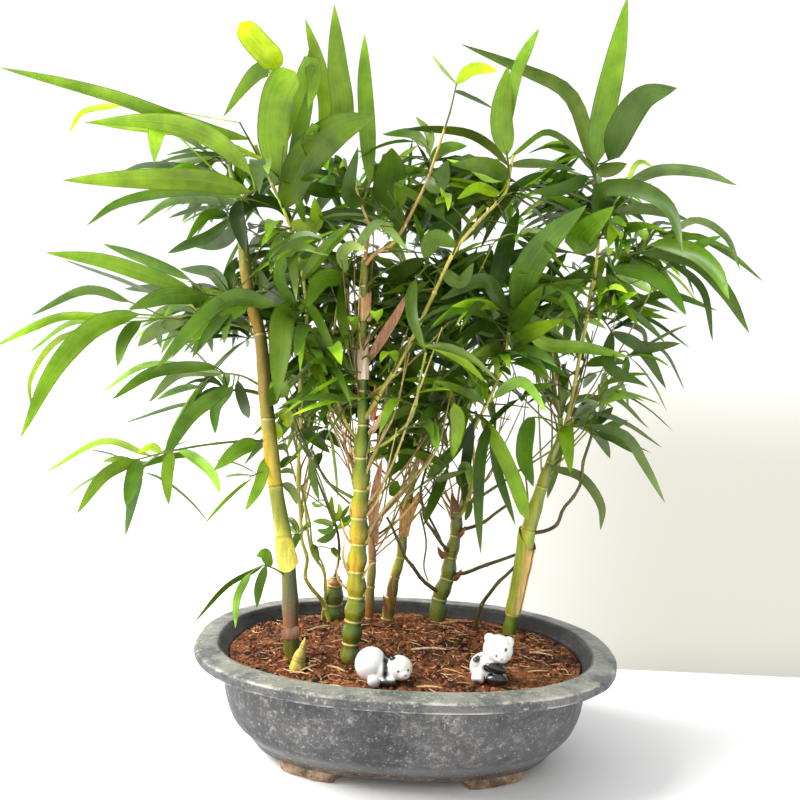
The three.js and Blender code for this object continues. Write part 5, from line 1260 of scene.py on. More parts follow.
# Dry sheaths wrapped round the culms: (u, v, depth) up the stem, inner radius at foot and top,
# how many turns they wrap, where their open side faces (0 is the right, a quarter is the front),
# how much lower the edges are than the point, the colours at foot and top, how ragged the top is,
# and how far the foot lifts at the back.
sheaths = {
    "sheath_foot_left": {
        "rows": [(-94.6, 87, -32), (-94.9, 92, -32), (-95.3, 98, -32)], "radii": (6.7, 6.9), "turns": 0.92,
        "opening": 0.6, "slope": 0.6, "colours": ((150, 108, 84), (216, 180, 150)), "fray": 1.6,
    },
    "sheath_flare_left": {
        "rows": [(-98.8, 143, -30), (-101.6, 156, -30), (-104.6, 172, -29)], "radii": (7.9, 6.0), "turns": 0.96,
        "opening": 0.45, "slope": 0.2, "colours": ((250, 240, 110), (216, 208, 84)), "fray": 0.5, "lift": 0.45,
    },
    "sheath_bellied_low": {
        "rows": [(-45.2, 302, -24), (-46.6, 322, -24), (-46.2, 343, -24)], "radii": (4.9, 5.1), "turns": 0.85,
        "opening": 0.9, "slope": 0.3, "colours": ((255, 244, 230), (228, 176, 146)), "fray": 1.6,
    },
    "sheath_bellied_high": {
        "rows": [(-45.5, 349, -24), (-45.9, 362, -24), (-46.4, 375, -23)], "radii": (4.5, 4.7), "turns": 0.85,
        "opening": 0.9, "slope": 0.25, "colours": ((240, 204, 160), (216, 156, 112)), "fray": 1.2,
    },
    "sheath_tan_middle": {
        "rows": [(-6.3, 176, 78.4), (-4.6, 194, 77), (-2.4, 212, 75.6)], "radii": (4.9, 12.4), "turns": 0.8,
        "opening": 0.85, "slope": 0.3, "colours": ((226, 176, 116), (238, 196, 138)), "fray": 4.4,
    },
}


def wrapShell(rows, radii, turns, opening, slope, colours, fray, seed, lift=0.0, wall=0.5):
    # A sheet wound round a stem: the angle runs over its turns, the height from the foot to a top
    # edge that falls away from its middle, and each angle's ring goes up outside and down inside.
    source = np.random.default_rng(seed)
    points = spots(rows)
    count, levels = 46, 12
    q = evenly(count)
    angle = (opening + q * turns) * 2 * np.pi
    ragged = np.interp(q, evenly(16), source.uniform(-1, 0.4, 16))
    ragged = ragged + np.interp(q, evenly(40), source.uniform(-0.5, 0.5, 40))
    length = lengthOf(points)
    top = 1 - slope * (0.5 + 0.5 * np.cos(q * 2 * np.pi)) + fray * ragged / length
    foot = 0.012 * np.sin(q * 25 + seed) + lift * (0.5 - 0.5 * np.cos(angle))
    s = np.concatenate([evenly(levels), evenly(levels, 1, 0)])
    outer = np.concatenate([np.ones(levels), np.zeros(levels)])
    rise = np.clip(foot[:, None] + (top - foot)[:, None] * s, 0, 1)
    dense = evenly(60)
    line = curveAt(points, dense)
    _, lineSide, lineAcross = framesAlong(line)
    centres, side, across = (np.stack([np.interp(rise, dense, values[:, axis]) for axis in range(3)], -1)
                             for values in (line, lineSide, lineAcross))
    cosine, sine = np.cos(angle)[:, None], np.sin(angle)[:, None]
    radius = radii[0] + (radii[1] - radii[0]) * rise**2 + wall * outer + 0.5 * (q[:, None] - 0.5) ** 2
    radius += 0.3 * wobble(np.stack([cosine * 8 + 0 * rise, sine * 8 + 0 * rise, rise * length], -1), 14.0, seed)
    wound = centres + radius[..., None] * (side * cosine[..., None] + across * sine[..., None])
    low, high = linear(*colours[0]), linear(*colours[1])
    tint = low + (high - low) * rise[..., None] ** 1.2
    edge = np.clip(1 - (top[:, None] - rise) * length / 1.6, 0, 1)[..., None]
    return gridShell(wound, tint * (1 - 0.35 * edge))


for index, (name, sheath) in enumerate(sheaths.items()):
    shell = wrapShell(**sheath, seed=40 + index)
    waxy = name == "sheath_flare_left"
    makePiece(name + "_wrap", [shell], caneSkin if waxy else sheathSkin, [name], sharp=40)


def dryBlade(rows, width, tint, seed, lean=0.3):
    # A blade along its line, leaning from the plane across the line of sight.
    return bladeShell(spots(rows), 0.0, width, facing(lean), linear(*tint), 16, seed, 0.5)


pinkBlade = {"rows": [(-41, 316, -25.5), (-29, 338, -30), (-20, 354, -32), (-11, 375, -34)], "width": 8.0,
             "tint": (206, 158, 128), "seed": 61}
makePiece("dry_blade", [dryBlade(**pinkBlade)], sheathSkin, ["sheath_dry_blade"])
# Dry scraps at the stems: rows of (u, v, depth), width, screen colour.
scraps = [
    ([(-27, 166, 66), (-30, 190, 60), (-29, 214, 54), (-26, 240, 48)], 10, (220, 176, 142)),
    ([(90, 78, 24), (95, 86, 34), (91, 97, 40)], 6, (186, 126, 86)),
    ([(-9, 112, 78), (-14, 130, 74), (-11, 146, 74)], 5, (196, 150, 104)),
    ([(-16, 106, 72), (-17, 116, 70), (-20, 126, 64)], 5, (206, 140, 108)),
    ([(-49, 140, -30), (-54, 156, -32), (-53, 172, -32)], 2.4, (250, 234, 160)),
    ([(-47, 166, -30), (-53, 174, -32), (-58, 188, -32)], 2.0, (236, 200, 130)),
    ([(-49, 128, -32), (-58, 138, -34), (-59, 158, -34)], 1.8, (240, 214, 150)),
    ([(-38, 138, -38), (-32, 150, -38), (-28, 152, -38)], 1.6, (226, 190, 120)),
    ([(14, 250, 40), (12, 268, 36), (15, 284, 32)], 4, (236, 206, 140)),
    ([(10, 232, 50), (5, 250, 44), (8, 268, 40)], 5, (222, 160, 112)),
    ([(-36, 268, -28), (-33, 282, -32), (-35, 298, -32)], 4, (220, 150, 112)),
    ([(-40, 254, -26), (-30, 268, -32), (-26, 280, -34)], 5, (240, 206, 170)),
]
makePiece("dry_scraps", [dryBlade(*scrap, 70 + index, 0.5) for index, scrap in enumerate(scraps)], sheathSkin)

# The sheath that widens up the right culm: cream and tan, and green on its left.
rightSheath = {"rows": [(87, 116, 56), (90.8, 140, 55), (93.6, 160, 54), (96.6, 187, 54)], "radii": (6.7, 8.6),
               "turns": 0.97, "opening": 0.14, "slope": 0.2, "colours": ((240, 212, 146), (236, 184, 112)),
               "fray": 1.0, "seed": 58}
rightSheathGreen = (182, 196, 56)


def buildRightSheath():
    # The tint turns green with the distance to the left of the middle line.
    shell = wrapShell(**rightSheath)
    line, verts = spots(rightSheath["rows"]), shell["verts"]
    left = np.clip((np.interp(verts[:, 2], line[:, 2], line[:, 0]) - verts[:, 0]) / 7 + 0.4, 0, 1)[:, None]
    shell["tint"] = blend(shell["tint"], linear(*rightSheathGreen), left)
    makePiece("sheathed_culm_wrap", [shell], caneSkin)


buildRightSheath()
print("sheaths made")

# The pot: a profile of (half length, height) with a corner radius at each point, carried round an
# oval. A foot's section is (half length, height) too.
pot = {
    "widthInset": 42, "ovalPower": 2.3, "feetAngle": 0.62, "feetSpan": 0.44, "feetSpanTop": 0.55, "feetHeight": 11.6,
    "drainRadius": 6, "drainPlace": 60, "sides": 260, "step": 3.2,
    "profile": [
        (2, 10, 0), (112, 10, 1.5), (115.2, 8, 1.2), (121, 8, 1.5), (122.5, 11.2, 1.2), (124.6, 13.2, 1.2),
        (127.4, 17.5, 2), (138.1, 28, 8), (144.6, 44, 10), (147.5, 64.5, 8), (148.8, 78.0, 2.5), (151.5, 79.4, 1.2),
        (168.6, 79.6, 1.6), (170.2, 81.5, 1.4), (170.3, 87, 1.8), (168.2, 88.2, 1.5), (154.0, 89.7, 2.0),
        (151.2, 89.0, 1.8), (149.4, 86, 1.5), (143.4, 79.5, 2), (141.5, 65, 5), (138, 44, 5), (130, 30, 4),
        (118, 20.5, 4), (2, 19, 0),
    ],
    "footSection": [
        (101, 0.3), (104, 0), (114, 0), (118.6, 0.2), (120.2, 1.4), (120.6, 5), (120.8, 8.4), (120.4, 11.2),
        (110, 11.6), (100, 11.6), (99.4, 8), (99.8, 3),
    ],
}
glaze = {
    "dark": ((34, 36, 44), (78, 78, 82)), "bloom": ((92, 92, 92), (206, 198, 184)), "run": (128, 130, 124),
    "band": (116, 124, 122), "lip": ((70, 78, 79), (146, 146, 136)), "lipPale": (196, 192, 174),
    "lipDark": (44, 48, 52), "edgeWearAndHighlight": (206, 202, 190), "rust": (104, 82, 62), "grit": (200, 194, 180),
    "pits": (28, 31, 36), "speck": (190, 186, 170),
}
footTones = {"crust": ((92, 70, 56), (176, 148, 118)), "grit": (60, 52, 46)}


def ovalRing(radius, angle, z):
    # The half length runs to radius, and the half width is a fixed amount less: a superellipse
    # whose cosine and sine are raised to 2 over its power.
    radius = np.asarray(radius, float)
    inset = pot["widthInset"]
    half = np.where(radius > 100, radius - inset, radius * (1 - inset / 100))
    c, s = np.cos(angle), np.sin(angle)
    power = 2 / pot["ovalPower"]
    return np.stack([radius * np.sign(c) * np.abs(c) ** power, half * np.sign(s) * np.abs(s) ** power,
                     z + 0 * c * radius], -1)


def softProfile(corners, spacing):
    # Each corner becomes a quadratic curve that starts and ends its radius away along both edges,
    # and long edges get steps of the spacing.
    line = [np.array(corners[0][:2], float)]
    for before, here, after in zip(corners, corners[1:], corners[2:]):
        a, b, c = (np.array(x[:2], float) for x in (before, here, after))
        back, on = np.linalg.norm(b - a), np.linalg.norm(c - b)
        reach = min(here[2], back * 0.48, on * 0.48)
        start, end = b + (a - b) / back * reach, b + (c - b) / on * reach
        line += [start * (1 - s) ** 2 + b * 2 * s * (1 - s) + end * s**2 for s in (0, 0.25, 0.5, 0.75, 1.0)]
    line.append(np.array(corners[-1][:2], float))
    out = [line[0]]
    for a, b in zip(line, line[1:]):
        steps = max(1, int(np.linalg.norm(b - a) / spacing))
        out += [a + (b - a) * (k + 1) / steps for k in range(steps)]
    return np.array(out)


def evenAngles(count, radius=150.0):
    # Angles whose points are evenly spaced round the oval.
    fine = evenly(4001, 0, 2 * np.pi)
    ring = ovalRing(radius, fine, 0.0)
    way = np.concatenate([[0], np.cumsum(np.linalg.norm(np.diff(ring, axis=0), axis=1))])
    return np.interp(np.linspace(0, way[-1], count, endpoint=False), way, fine)


def potMaterial():
    # Worn blue-grey glaze: dark body, dusty lime bloom and streaks, pale edge lines that are partly
    # rubbed wear and partly painted highlight, fine pits, and painted shade on the lip's face and inside the rim.
    look = newLook("wornGlaze")
    across, _, height = look.parts(look.place)
    # The bloom covers more of the pot toward its left end than toward its right.
    leftwardShare = look.ramp(across, -0.04, 0.12, 1.0, 0.3)
    cloud = look.noise(13.0, 8.0, 0.7)
    patch = look.noise(140.0, 10.0, 0.8, distortion=0.3)
    grit = look.noise(330.0, 6.0, 0.75)
    run = look.noise(90.0, 6.0, 0.7, (1.0, 1.0, 0.14))
    scratch = look.noise(34.0, 9.0, 0.75, (0.8, 1.0, 1.6))
    speck = look.noise(1300.0, 2.0, 0.5)

    def paint(key):
        return linear(*glaze[key])

    def between(key, value, low, high):
        return look.mix(look.ramp(value, low, high), *(linear(*tone) for tone in glaze[key]))

    def line(rise, fall):
        # A narrow level line: it comes in over the first two heights and goes over the last two.
        return look.times(look.ramp(height, *rise), look.ramp(height, *fall, 1.0, 0.0))

    lime = look.plus(look.times(patch, 0.45), look.times(cloud, 0.75))
    amount = look.times(look.ramp(lime, 0.56, 0.74), leftwardShare)
    bloom = between("bloom", patch, 0.46, 0.66)
    base = look.mix(look.times(amount, 0.65), between("dark", cloud, 0.38, 0.62), bloom)
    base = look.cover(base, paint("run"), run, 0.58, 0.72, 0.25)
    band = line((0.013, 0.017), (0.021, 0.027))
    base = look.mix(look.times(band, look.ramp(scratch, 0.3, 0.5, 0.2, 0.6)), base, paint("band"))
    lip = look.layers(between("lip", scratch, 0.36, 0.6), (paint("lipPale"), patch, 0.54, 0.66, 0.8),
                      (paint("lipDark"), patch, 0.42, 0.3, 0.7))
    # Below the rim top, on the lip's upright face and inner slope, the lip colour is darkened to about half: painted
    # shade.
    lip = look.cover(look.toned(lip, 0.5, 0.48, 0.56), lip, height, 0.0862, 0.0878)
    # Pale lines along the rim's upper corner and the lip's lower edge, broken by scratches: partly rubbed wear and
    # partly painted highlight.
    corners = look.plus(line((0.0864, 0.0872), (0.0876, 0.0884)), line((0.0792, 0.0800), (0.0805, 0.0822)))
    edgeWearAndHighlight = look.times(corners, look.ramp(scratch, 0.44, 0.6))
    lip = look.mix(look.times(edgeWearAndHighlight, 0.8), lip, paint("edgeWearAndHighlight"))
    base = look.cover(base, lip, height, 0.0785, 0.0805, 0.9)
    rust = look.times(look.ramp(height, 0.026, 0.009), look.ramp(patch, 0.42, 0.58))
    base = look.mix(look.times(rust, 0.7), base, paint("rust"))
    base = look.layers(base, (paint("grit"), grit, 0.58, 0.66, 0.7), (paint("pits"), grit, 0.42, 0.3, 0.6),
                       (paint("speck"), speck, 0.66, 0.72, 0.4))
    # Where the tint is black, on the wall inside the rim, the glaze is darkened to about a sixth: painted shade.
    base = look.mix(look.tint(), look.toned(base, 0.16, 0.16, 0.18), base)
    normal = look.bump(look.plus(look.times(patch, 0.7), look.times(grit, 0.4)), 0.45, 0.0012)
    return look.finish(look.skin(base, look.ramp(amount, 0.0, 1.0, 0.46, 0.75), Normal=normal))


def footMaterial():
    # Crusted feet: brown patches with dark grit, rough and dull.
    look = newLook("crustedFoot")
    patch = look.noise(60.0, 8.0, 0.7)
    grit = look.noise(420.0, 5.0, 0.7)
    base = look.mix(look.ramp(patch, 0.36, 0.62), *(linear(*tone) for tone in footTones["crust"]))
    base = look.cover(base, linear(*footTones["grit"]), grit, 0.52, 0.7)
    normal = look.bump(look.plus(patch, look.times(grit, 0.5)), 0.8, 0.0014)
    return look.finish(look.skin(base, 0.85, Normal=normal))


def applyModifiers(piece):
    # The mesh as its modifiers leave it takes the place of the plain one.
    shape = piece.evaluated_get(bpy.context.evaluated_depsgraph_get())
    mesh = bpy.data.meshes.new_from_object(shape)
    piece.modifiers.clear()
    old, piece.data = piece.data, mesh
    mesh.name = old.name
    bpy.data.meshes.remove(old)


def drillDrains(body):
    # Two upright round bars are taken out of the pot's floor.
    cutters = []
    for x in (-pot["drainPlace"], pot["drainPlace"]):
        shell = tube([(x, 0, -5), (x, 0, 40)], evenly(3), np.full(3, float(pot["drainRadius"])), (0.2, 0.2, 0.2), 28)
        cutter = newObject("drainCutter", newMesh("drainCutter", shell))
        hole = body.modifiers.new("drain", "BOOLEAN")
        hole.operation, hole.object, hole.solver = "DIFFERENCE", cutter, "EXACT"
        cutters.append(cutter)
    applyModifiers(body)
    for cutter in cutters:
        bpy.data.objects.remove(cutter)


def footShell(centre):
    # The section swept along the oval over a span that widens upward, rounded off at both ends.
    section = np.array(pot["footSection"])
    q = evenly(22, -0.5, 0.5)[:, None]
    sweep = pot["feetSpan"] + (pot["feetSpanTop"] - pot["feetSpan"]) * section[:, 1] / pot["feetHeight"]
    ring = ovalRing(section[None, :, 0], centre + q * sweep[None], section[None, :, 1])
    taper = 1 - 0.012 * (np.abs(q) * 2) ** 10
    ring = ring * np.stack([taper, taper, np.ones_like(taper)], -1)
    ring = ring + unit(ring * (1, 1, 0)) * (0.5 * wobble(ring, 16.0, 31))[..., None]
    ring[..., 2] = np.clip(ring[..., 2] + 0.25 * wobble(ring, 12.0, 32), 0, None)
    return gridShell(ring, (0.2, 0.2, 0.2))


def buildPot():
    # The profile round the oval, a little uneven as a hand-made pot is.
    profile = softProfile(pot["profile"], pot["step"])
    reach, height = profile[:, :1], profile[:, 1:2]
    rows = ovalRing(reach, evenAngles(pot["sides"])[None], height)
    uneven = 0.35 * wobble(rows, 60.0, 21) + 0.12 * wobble(rows, 14.0, 22)
    rows = rows + unit(rows * (1, 1, 0)) * (uneven * np.clip((reach - 30) / 60, 0, 1))[..., None]
    rows[..., 2] += np.where(height > 78, 0.3 * wobble(rows, 110.0, 23), 0)
    # The tint is white outside and black on the wall inside the rim, where the glaze is painted darker: painted shade
    # in that hollow.
    shadedInside = np.clip((np.arange(len(profile)) - profile[:, 1].argmax() - 2) / 4.0, 0, 1)
    # One minus the painted shade: one outside, falling to zero on the wall inside the rim.
    dry = np.broadcast_to((1 - shadedInside)[:, None, None], (*rows.shape[:2], 3))
    drillDrains(makePiece("pot_body", [gridShell(rows, dry)], potMaterial(), ["pot"], sharp=0))
    feet = [footShell(side * np.pi / 2 + turn) for side, turn in
            ((1, pot["feetAngle"]), (1, -pot["feetAngle"]), (-1, pot["feetAngle"]), (-1, -pot["feetAngle"]))]
    makePiece("pot_feet", feet, footMaterial(), sharp=40)


buildPot()
print("pot made")

# Coco peat, mounded a little toward the middle, with crumbs, fibres and straws on it.
soil = {
    "edge": 78.5, "rise": 4.5, "crumbs": 900, "fibres": 620, "rim": 142.9, "sides": 300, "spread": 142,
    "fibreReach": (140, 98),
    "profile": [(2, 19.3), (60, 19.9), (117.4, 20.8), (129.6, 30.3), (137.6, 44), (141.2, 65), (142.6, 77.6)],
    "clumps": ((52, 30, 20), (162, 100, 66)), "grain": (214, 156, 112), "pits": (32, 18, 14), "thread": (206, 156, 112),
    "browns": [(150, 84, 54), (184, 114, 74), (92, 52, 32), (206, 144, 98), (52, 32, 22), (112, 92, 46)],
    "pale": (232, 196, 154), "paleShare": 0.42,
}
# Straws on the soil: both ends (x, y), size, screen colour.
straws = [
    ((8, -82), (27, -80), 1.4, (222, 190, 140)), ((-62, 2), (-49, 6), 1.3, (206, 160, 116)),
    ((-58, -84), (-44, -92), 1.5, (226, 196, 146)), ((-12, -99), (2, -98), 1.2, (214, 178, 128)),
    ((66, 6), (80, 10), 1.2, (220, 186, 140)), ((-86, -60), (-74, -66), 1.0, (214, 178, 130)),
    ((96, -40), (112, -34), 1.1, (222, 190, 148)), ((30, -40), (44, -52), 0.9, (206, 160, 112)),
    ((-110, -20), (-98, -12), 1.1, (210, 170, 120)), ((-84, 31), (-66, 45), 1.4, (236, 206, 160)),
    ((-96, 3), (-75, 26), 0.9, (222, 176, 130)), ((-80, -59), (-69, -49), 1.2, (236, 200, 150)),
    ((-84, -46), (-70, -62), 1.0, (226, 184, 140)), ((32, 64), (50, 82), 2.4, (206, 160, 120)),
    ((5, -7), (34, 0), 1.7, (250, 224, 186)), ((104, 6), (124, 13), 1.3, (214, 170, 136)),
    ((42, 84), (62, 80), 1.2, (196, 150, 116)), ((-60, -50), (-46, -60), 1.2, (220, 170, 124)),
    ((76, 74), (90, 66), 1.8, (170, 122, 92)), ((44, -34), (60, -58), 1.1, (214, 150, 110)),
    ((104, 8), (122, 2), 1.2, (224, 196, 150)), ((-20, -30), (-6, -36), 0.8, (200, 150, 104)),
    ((84, -78), (96, -70), 0.9, (216, 180, 130)),
]


def soilTop(x, y):
    # A mound that falls off as a bell over an oval, with two low slanting waves.
    mound = np.exp(-(((x + 30) / 95) ** 2) - ((y - 15) / 75) ** 2)
    return soil["edge"] + soil["rise"] * mound + 0.7 * np.sin(x / 9 + y / 13) + 0.5 * np.sin(y / 7 - x / 17)


def soilMaterial():
    # Dark and red clumps, with pale grains, dark pits and threads, and strong relief.
    look = newLook("cocoPeat")
    clump = look.noise(55.0, 8.0, 0.7)
    grain = look.noise(300.0, 8.0, 0.75)
    thread = look.noise(700.0, 4.0, 0.6, (1.0, 0.35, 1.0), 1.5)
    base = look.mix(look.ramp(clump, 0.4, 0.6), *(linear(*tone) for tone in soil["clumps"]))
    base = look.layers(base, (linear(*soil["grain"]), grain, 0.52, 0.66), (linear(*soil["pits"]), grain, 0.47, 0.35),
                       (linear(*soil["thread"]), thread, 0.62, 0.72, 0.6))
    normal = look.bump(look.plus(grain, look.times(clump, 0.6)), 1.0, 0.0025)
    return look.finish(look.skin(base, 0.92, Normal=normal, Specular_IOR_Level=0.2))


def litterMaterial():
    # Crumbs and straws: their tint, darker and lighter along a fine grain.
    look = newLook("peatLitter")
    colour = look.tint()
    grain = look.noise(600.0, 5.0, 0.65)
    base = look.cover(look.toned(colour, 0.6, 0.55, 0.5), look.toned(colour, 1.25, 1.22, 1.18), grain, 0.35, 0.65)
    return look.finish(look.skin(base, 0.85, Normal=look.bump(grain, 0.5), Specular_IOR_Level=0.25))


def onSoil(count, source, reach=0.97):
    # Even spread over the oval: the root of an even number gives the fraction of the radius.
    radius = soil["spread"] * np.sqrt(source.uniform(0.0, reach, count))
    place = ovalRing(radius, source.uniform(0, 2 * np.pi, count), 0.0)
    place[:, 2] = soilTop(place[:, 0], place[:, 1])
    return place


def crumb(place, source):
    # A short thick tube that lies any way.
    size = source.uniform(0.7, 1.5) ** 2.2
    turn = unit(source.normal(size=3)) * size
    points = [place - turn * 0.8 + (0, 0, 0.25 * size), place + turn * 0.8 + (0, 0, 0.3 * size)]
    radii = size * np.array([0.35, 0.85, 0.8, 0.3]) * source.uniform(0.7, 1.2, 4)
    return tube(points, evenly(4), radii, linear(*soil["browns"][source.integers(6)]), 6)


def fibre(place, source):
    # A thin bent tube, or none where it would reach past the rim.
    length = source.uniform(4, 17)
    heading = source.uniform(0, 2 * np.pi)
    way = np.array([math.cos(heading), math.sin(heading), 0])
    bend = np.array([-way[1], way[0], 0]) * source.uniform(-0.3, 0.3) * length
    points = np.array([place - way * length / 2, place + bend, place + way * length / 2])
    if (((np.abs(points[:, :2]) / soil["fibreReach"]) ** pot["ovalPower"]).sum(1) >= 1).any():
        return []
    points[:, 2] = soilTop(points[:, 0], points[:, 1]) + source.uniform(0.2, 1.8, 3)
    pale = source.uniform() < soil["paleShare"]
    colour = soil["pale"] if pale else soil["browns"][source.integers(6)]
    radii = np.array([0.12, 0.3, 0.34, 0.28, 0.1]) * source.uniform(0.7, 1.3)
    return [tube(points, evenly(5), radii, linear(*colour), 4)]


def straw(start, end, size, colour):
    # A thin tube from end to end, highest in the middle and narrower at its ends.
    (x0, y0), (x1, y1) = start, end
    points = np.array([(x0, y0, 0.0), ((x0 + x1) / 2 + 0.6, (y0 + y1) / 2, 0.0), (x1, y1, 0.0)])
    points[:, 2] = soilTop(points[:, 0], points[:, 1]) + size + np.array([0.2, 0.8, 0.5])
    radii = size * 0.62 * np.array([0.7, 0.95, 1, 1, 1, 0.9, 0.55])
    return tube(points, evenly(7), radii, linear(*colour) * 1.15, 5)


def buildSoil():
    # The bed fills the pot to its rim, and its top is grainy but for a calm strip at the wall.
    source = np.random.default_rng(77)
    bottom, top = np.array(soil["profile"]), evenly(96, soil["rim"], 1.5)[:, None]
    angle = evenAngles(soil["sides"])[None]
    low = ovalRing(bottom[:, :1], angle, bottom[:, 1:2])
    high = ovalRing(top, angle, 0.0)
    grain = 1.2 * wobble(high, 9.0, 51) + 0.9 * wobble(high, 3.2, 52, 2) + 0.9 * wobble(high, 30.0, 53)
    calm = np.clip((soil["rim"] - top) / 4 + 0.25, 0, 1)
    high[..., 2] = soilTop(high[..., 0], high[..., 1]) + grain * calm
    bed = gridShell(np.concatenate([low, high]), (0.1, 0.05, 0.03))
    makePiece("soil_bed", [bed], soilMaterial(), ["soil"], sharp=0)
    litter = [crumb(place, source) for place in onSoil(soil["crumbs"], source)]
    litter += [shell for place in onSoil(soil["fibres"], source, 0.94) for shell in fibre(place, source)]
    litter += [straw(*row) for row in straws]
    makePiece("soil_litter", litter, litterMaterial())


buildSoil()
print("soil made")

# The figurines: balls of (centre, radii, turns about X, Y and Z), remeshed into one skin and
# smoothed, then painted by place: each patch is (centre, radii, colour, edge softness).
white, black = (244, 243, 238), (24, 26, 30)
lyingPanda = {
    "centre": (-23.0, -72.0), "voxel": 0.62, "smooth": 5,
    "balls": [
        ((-3.6, 2, 13.0), (12.2, 11.4, 12.8), (0, 0.1, 0.2)), ((5, 1, 9.5), (9, 9.8, 9.4), (0, 0.2, 0)),
        ((18.0, -3, 12.8), (9.8, 9.0, 9.2), (0, 0.1, -0.3)), ((21, -8.8, 10.4), (5.2, 4.0, 4.2), (0, 0, 0)),
        ((12.4, -5.5, 20.2), (2.4, 1.9, 2.4), (0, 0, 0)), ((19, 2.6, 20.2), (2.4, 1.9, 2.4), (0, 0, 0)),
        ((-0.5, -9, 3.6), (5, 4.4, 4.4), (0, 0.3, 0)), ((9, -8, 3.4), (7.5, 4.2, 3.8), (0, 0, -0.3)),
        ((9, 8, 3.8), (7.5, 4.2, 4), (0, 0, 0.3)), ((-6, 10, 4), (5, 4.4, 4.4), (0, 0.3, 0)),
    ],
    "paint": [
        ((7.4, 2, 12), (2.5, 16, 15), black, 1.2), ((10, -9, 2.0), (10, 7, 4.4), black, 1.0),
        # The grey patch on the hind paw toward the front is painted shade on a white paw.
        ((9, 9, 3), (10, 7, 5.4), black, 1.0), ((-0.5, -9.4, 3.2), (4.6, 4.6, 4.4), (196, 196, 196), 1.2),
        ((-6, 10.6, 4), (5, 5, 5), (60, 62, 66), 1.2), ((12.2, -5.5, 21.2), (2.6, 2.6, 2.4), black, 0.8),
        ((19, 2.6, 21.2), (2.8, 2.8, 2.6), black, 0.8), ((27.4, -3, 12), (2.6, 9, 9), (240, 228, 190), 2.4),
        ((17.0, -11.9, 13.2), (1.0, 1.6, 0.9), (92, 62, 44), 0.5),
        ((24.4, -10.2, 13.8), (1.0, 1.6, 1.0), (92, 62, 44), 0.5),
        ((22.6, -13, 10.6), (1.2, 1.3, 0.8), (150, 122, 104), 0.6),
    ],
}
sittingPanda = {
    "centre": (61.0, -60.0), "voxel": 0.62, "smooth": 5,
    "balls": [
        ((-2.5, 1, 10.5), (10.4, 9.4, 11), (0, 0.2, 0)), ((7.6, -3, 25.6), (11.6, 9.8, 11.2), (0, 0.6, 0)),
        ((8.6, -11, 22.0), (5.0, 3.6, 3.8), (0, 0.3, 0)), ((1.2, -2, 33.4), (4.4, 4.0, 4.2), (0, 0.6, 0)),
        ((15.6, -2, 31.4), (4.4, 4.0, 4.2), (0, 0.6, 0)), ((6, -9, 13.4), (8.6, 4, 3.8), (0, 0.25, -0.1)),
        ((7, -9.5, 4.8), (8.8, 4.8, 4.6), (0, 0, -0.2)), ((-8, -4, 15), (3.4, 3.4, 5), (0.3, -0.2, 0)),
        ((-7, -8, 4.6), (5, 5.6, 4.4), (0, 0, 0.3)),
    ],
    "paint": [
        ((6, -9.6, 13.4), (10.5, 6.0, 4.8), black, 1.0), ((7.5, -10, 4.6), (10.5, 7, 6.0), black, 1.0),
        ((-8.6, -6, 20.0), (3.6, 5.5, 4.0), black, 1.0), ((8, 2, 12), (9, 9, 8), black, 1.6),
        ((-7.4, -8.6, 3.6), (4.2, 5.6, 3.6), (70, 72, 78), 1.0),
        ((19.6, -2, 32.4), (2.6, 4.4, 4.0), (234, 202, 176), 1.4), ((-5.0, -6, 21.6), (2.6, 4.4, 2.4), black, 0.6),
        ((5.6, -12.5, 24.0), (1.0, 2.4, 1.1), (60, 76, 56), 0.6),
        ((12.6, -11.6, 28.4), (1.2, 2.4, 1.4), (36, 52, 40), 0.5),
        ((9.6, -14.6, 22.2), (1.3, 1.4, 0.8), (206, 160, 148), 0.6),
    ],
}


def figurineMaterial():
    # Glossy glaze over the paint, with brownish grime in places.
    look = newLook("glazedFigurine")
    colour = look.tint()
    base = look.cover(colour, look.toned(colour, 0.62, 0.54, 0.44), look.noise(240.0, 5.0, 0.6), 0.55, 0.75, 0.35)
    normal = look.bump(look.noise(150.0, 3.0), 0.12, 0.0006)
    return look.finish(look.skin(base, 0.22, Normal=normal, Specular_IOR_Level=0.55, Coat_Weight=0.6,
                                 Coat_Roughness=0.08))


def ballShell(centre, radii, turns):
    # Rings from pole to pole: each is a circle of radius sine of the polar angle, stretched by the
    # radii and turned.
    polar = evenly(17, 0, np.pi)[1:-1, None]
    angle = circle(24)
    flat = np.sin(polar)
    rows = np.stack([flat * np.cos(angle), flat * np.sin(angle), np.cos(polar) + 0 * angle], -1) * radii
    turnX, turnY, turnZ = (Matrix.Rotation(turn, 3, axis) for turn, axis in zip(turns, "XYZ"))
    return gridShell(rows @ np.array(turnZ @ turnY @ turnX).T + centre, (1, 1, 1))


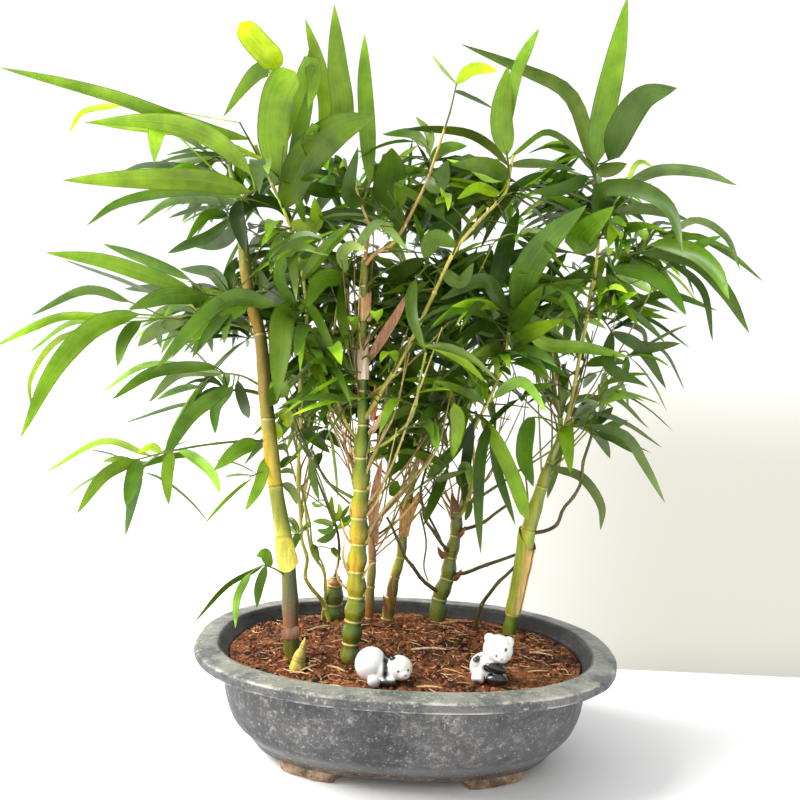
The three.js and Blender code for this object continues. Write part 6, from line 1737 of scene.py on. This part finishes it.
def buildFigurine(name, node, panda, material):
    # The balls become one skin. A patch's colour comes in over its softness, where the distance
    # from its surface, its least radius times how far out a point is less one, passes zero.
    low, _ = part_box(node)
    base = np.array([*panda["centre"], low[2] * millimetres])
    shells = [ballShell(base + centre, radii, turns) for centre, radii, turns in panda["balls"]]
    piece = makePiece(name, shells, material, [node], sharp=0)
    remesh = piece.modifiers.new("oneSkin", "REMESH")
    remesh.mode, remesh.voxel_size, remesh.use_smooth_shade = "VOXEL", panda["voxel"] * metres, True
    soften = piece.modifiers.new("soften", "SMOOTH")
    soften.factor, soften.iterations = 0.5, panda["smooth"]
    applyModifiers(piece)
    mesh = piece.data
    points = np.empty(len(mesh.vertices) * 3)
    mesh.vertices.foreach_get("co", points)
    points = points.reshape(-1, 3) * millimetres - base
    colour = np.tile(linear(*white), (len(points), 1))
    for centre, radii, paint, softness in panda["paint"]:
        distance = (np.linalg.norm((points - centre) / radii, axis=1) - 1) * min(radii)
        colour = blend(colour, linear(*paint), np.clip(0.5 - distance / softness, 0, 1)[:, None])
    for layer in list(mesh.color_attributes):
        mesh.color_attributes.remove(layer)
    paintPoints(mesh, colour)
    if not mesh.materials:
        mesh.materials.append(material)


figurineGlaze = figurineMaterial()
buildFigurine("panda_lying_figure", "panda_lying", lyingPanda, figurineGlaze)
buildFigurine("panda_sitting_figure", "panda_sitting", sittingPanda, figurineGlaze)
print("figurines made")

# Table and light.
studio = {
    "floorTone": 0.97, "wallShadeTone": (170, 168, 160), "tableBack": (0.200, 0.206), "sky": 1.05, "horizon": 1.1,
    "farSide": 0.3, "nearSide": 1.4, "key": 4.8, "keyFrom": (-1.0, -0.12, 0.95), "keyAngle": 34,
    "keyColour": (1.0, 0.985, 0.95),
}


def buildStage():
    mesh = bpy.data.meshes.new("tableTop")
    mesh.from_pydata([(-7, -3, 0), (7, -3, 0), (7, 9, 0), (-7, 9, 0)], [], [(0, 1, 2, 3)])
    look = newLook("tableWhite")
    # Past the table's back edge the floor is painted with the soft grey of a wall's shade, a painted shadow,
    # which fades with distance and toward the left, as seen from the viewpoint.
    across, away, _ = look.parts(look.place)
    reach = look.plus(away, -viewpoint[1] * metres)
    aside = look.maths("DIVIDE", across, reach)
    rise = look.maths("DIVIDE", viewpoint[2] * metres, reach)
    paintedWallShade = look.times(look.ramp(away, *studio["tableBack"]), look.ramp(aside, -0.3, 0.32))
    paintedWallShade = look.times(paintedWallShade, look.ramp(rise, -0.2, 0.13))
    tone = look.mix(paintedWallShade, (studio["floorTone"],) * 3, linear(*studio["wallShadeTone"]))
    mesh.materials.append(look.finish(look.skin(tone, 0.6, Specular_IOR_Level=0.2)))
    newObject("tableTop", mesh)


def buildLight():
    # A pale sky, dimmer high on the right and lighter high on the left, and one soft sun.
    scene = bpy.context.scene
    scene.world = bpy.data.worlds.new("studioSky")
    look = Look(scene.world, "Generated")
    sideways, _, height = look.parts(look.place)
    raised = look.ramp(height, 0.22, 0.4)
    dimmer = look.times(raised, look.ramp(sideways, 0.3, 0.7, 0.0, 1.0 - studio["farSide"]))
    lighter = look.times(raised, look.ramp(sideways, -0.7, -0.3, studio["nearSide"] - 1.0, 0.0))
    strength = look.ramp(height, 0.25, 0.75, studio["horizon"], studio["sky"])
    strength = look.times(strength, look.plus(look.maths("SUBTRACT", 1.0, dimmer), lighter))
    sky = look.add("Background", Color=(1.0, 1.0, 1.0, 1.0), Strength=strength).outputs[0]
    look.finish(sky, "OutputWorld")
    key = bpy.data.lights.new("keySun", "SUN")
    key.energy, key.angle = studio["key"], math.radians(studio["keyAngle"])
    key.color = studio["keyColour"]
    holder = newObject("keySun", key)
    holder.rotation_euler = Vector(studio["keyFrom"]).to_track_quat("Z", "Y").to_euler()
    scene.view_settings.view_transform = "Standard"
    scene.view_settings.look = "None"


buildStage()
buildLight()
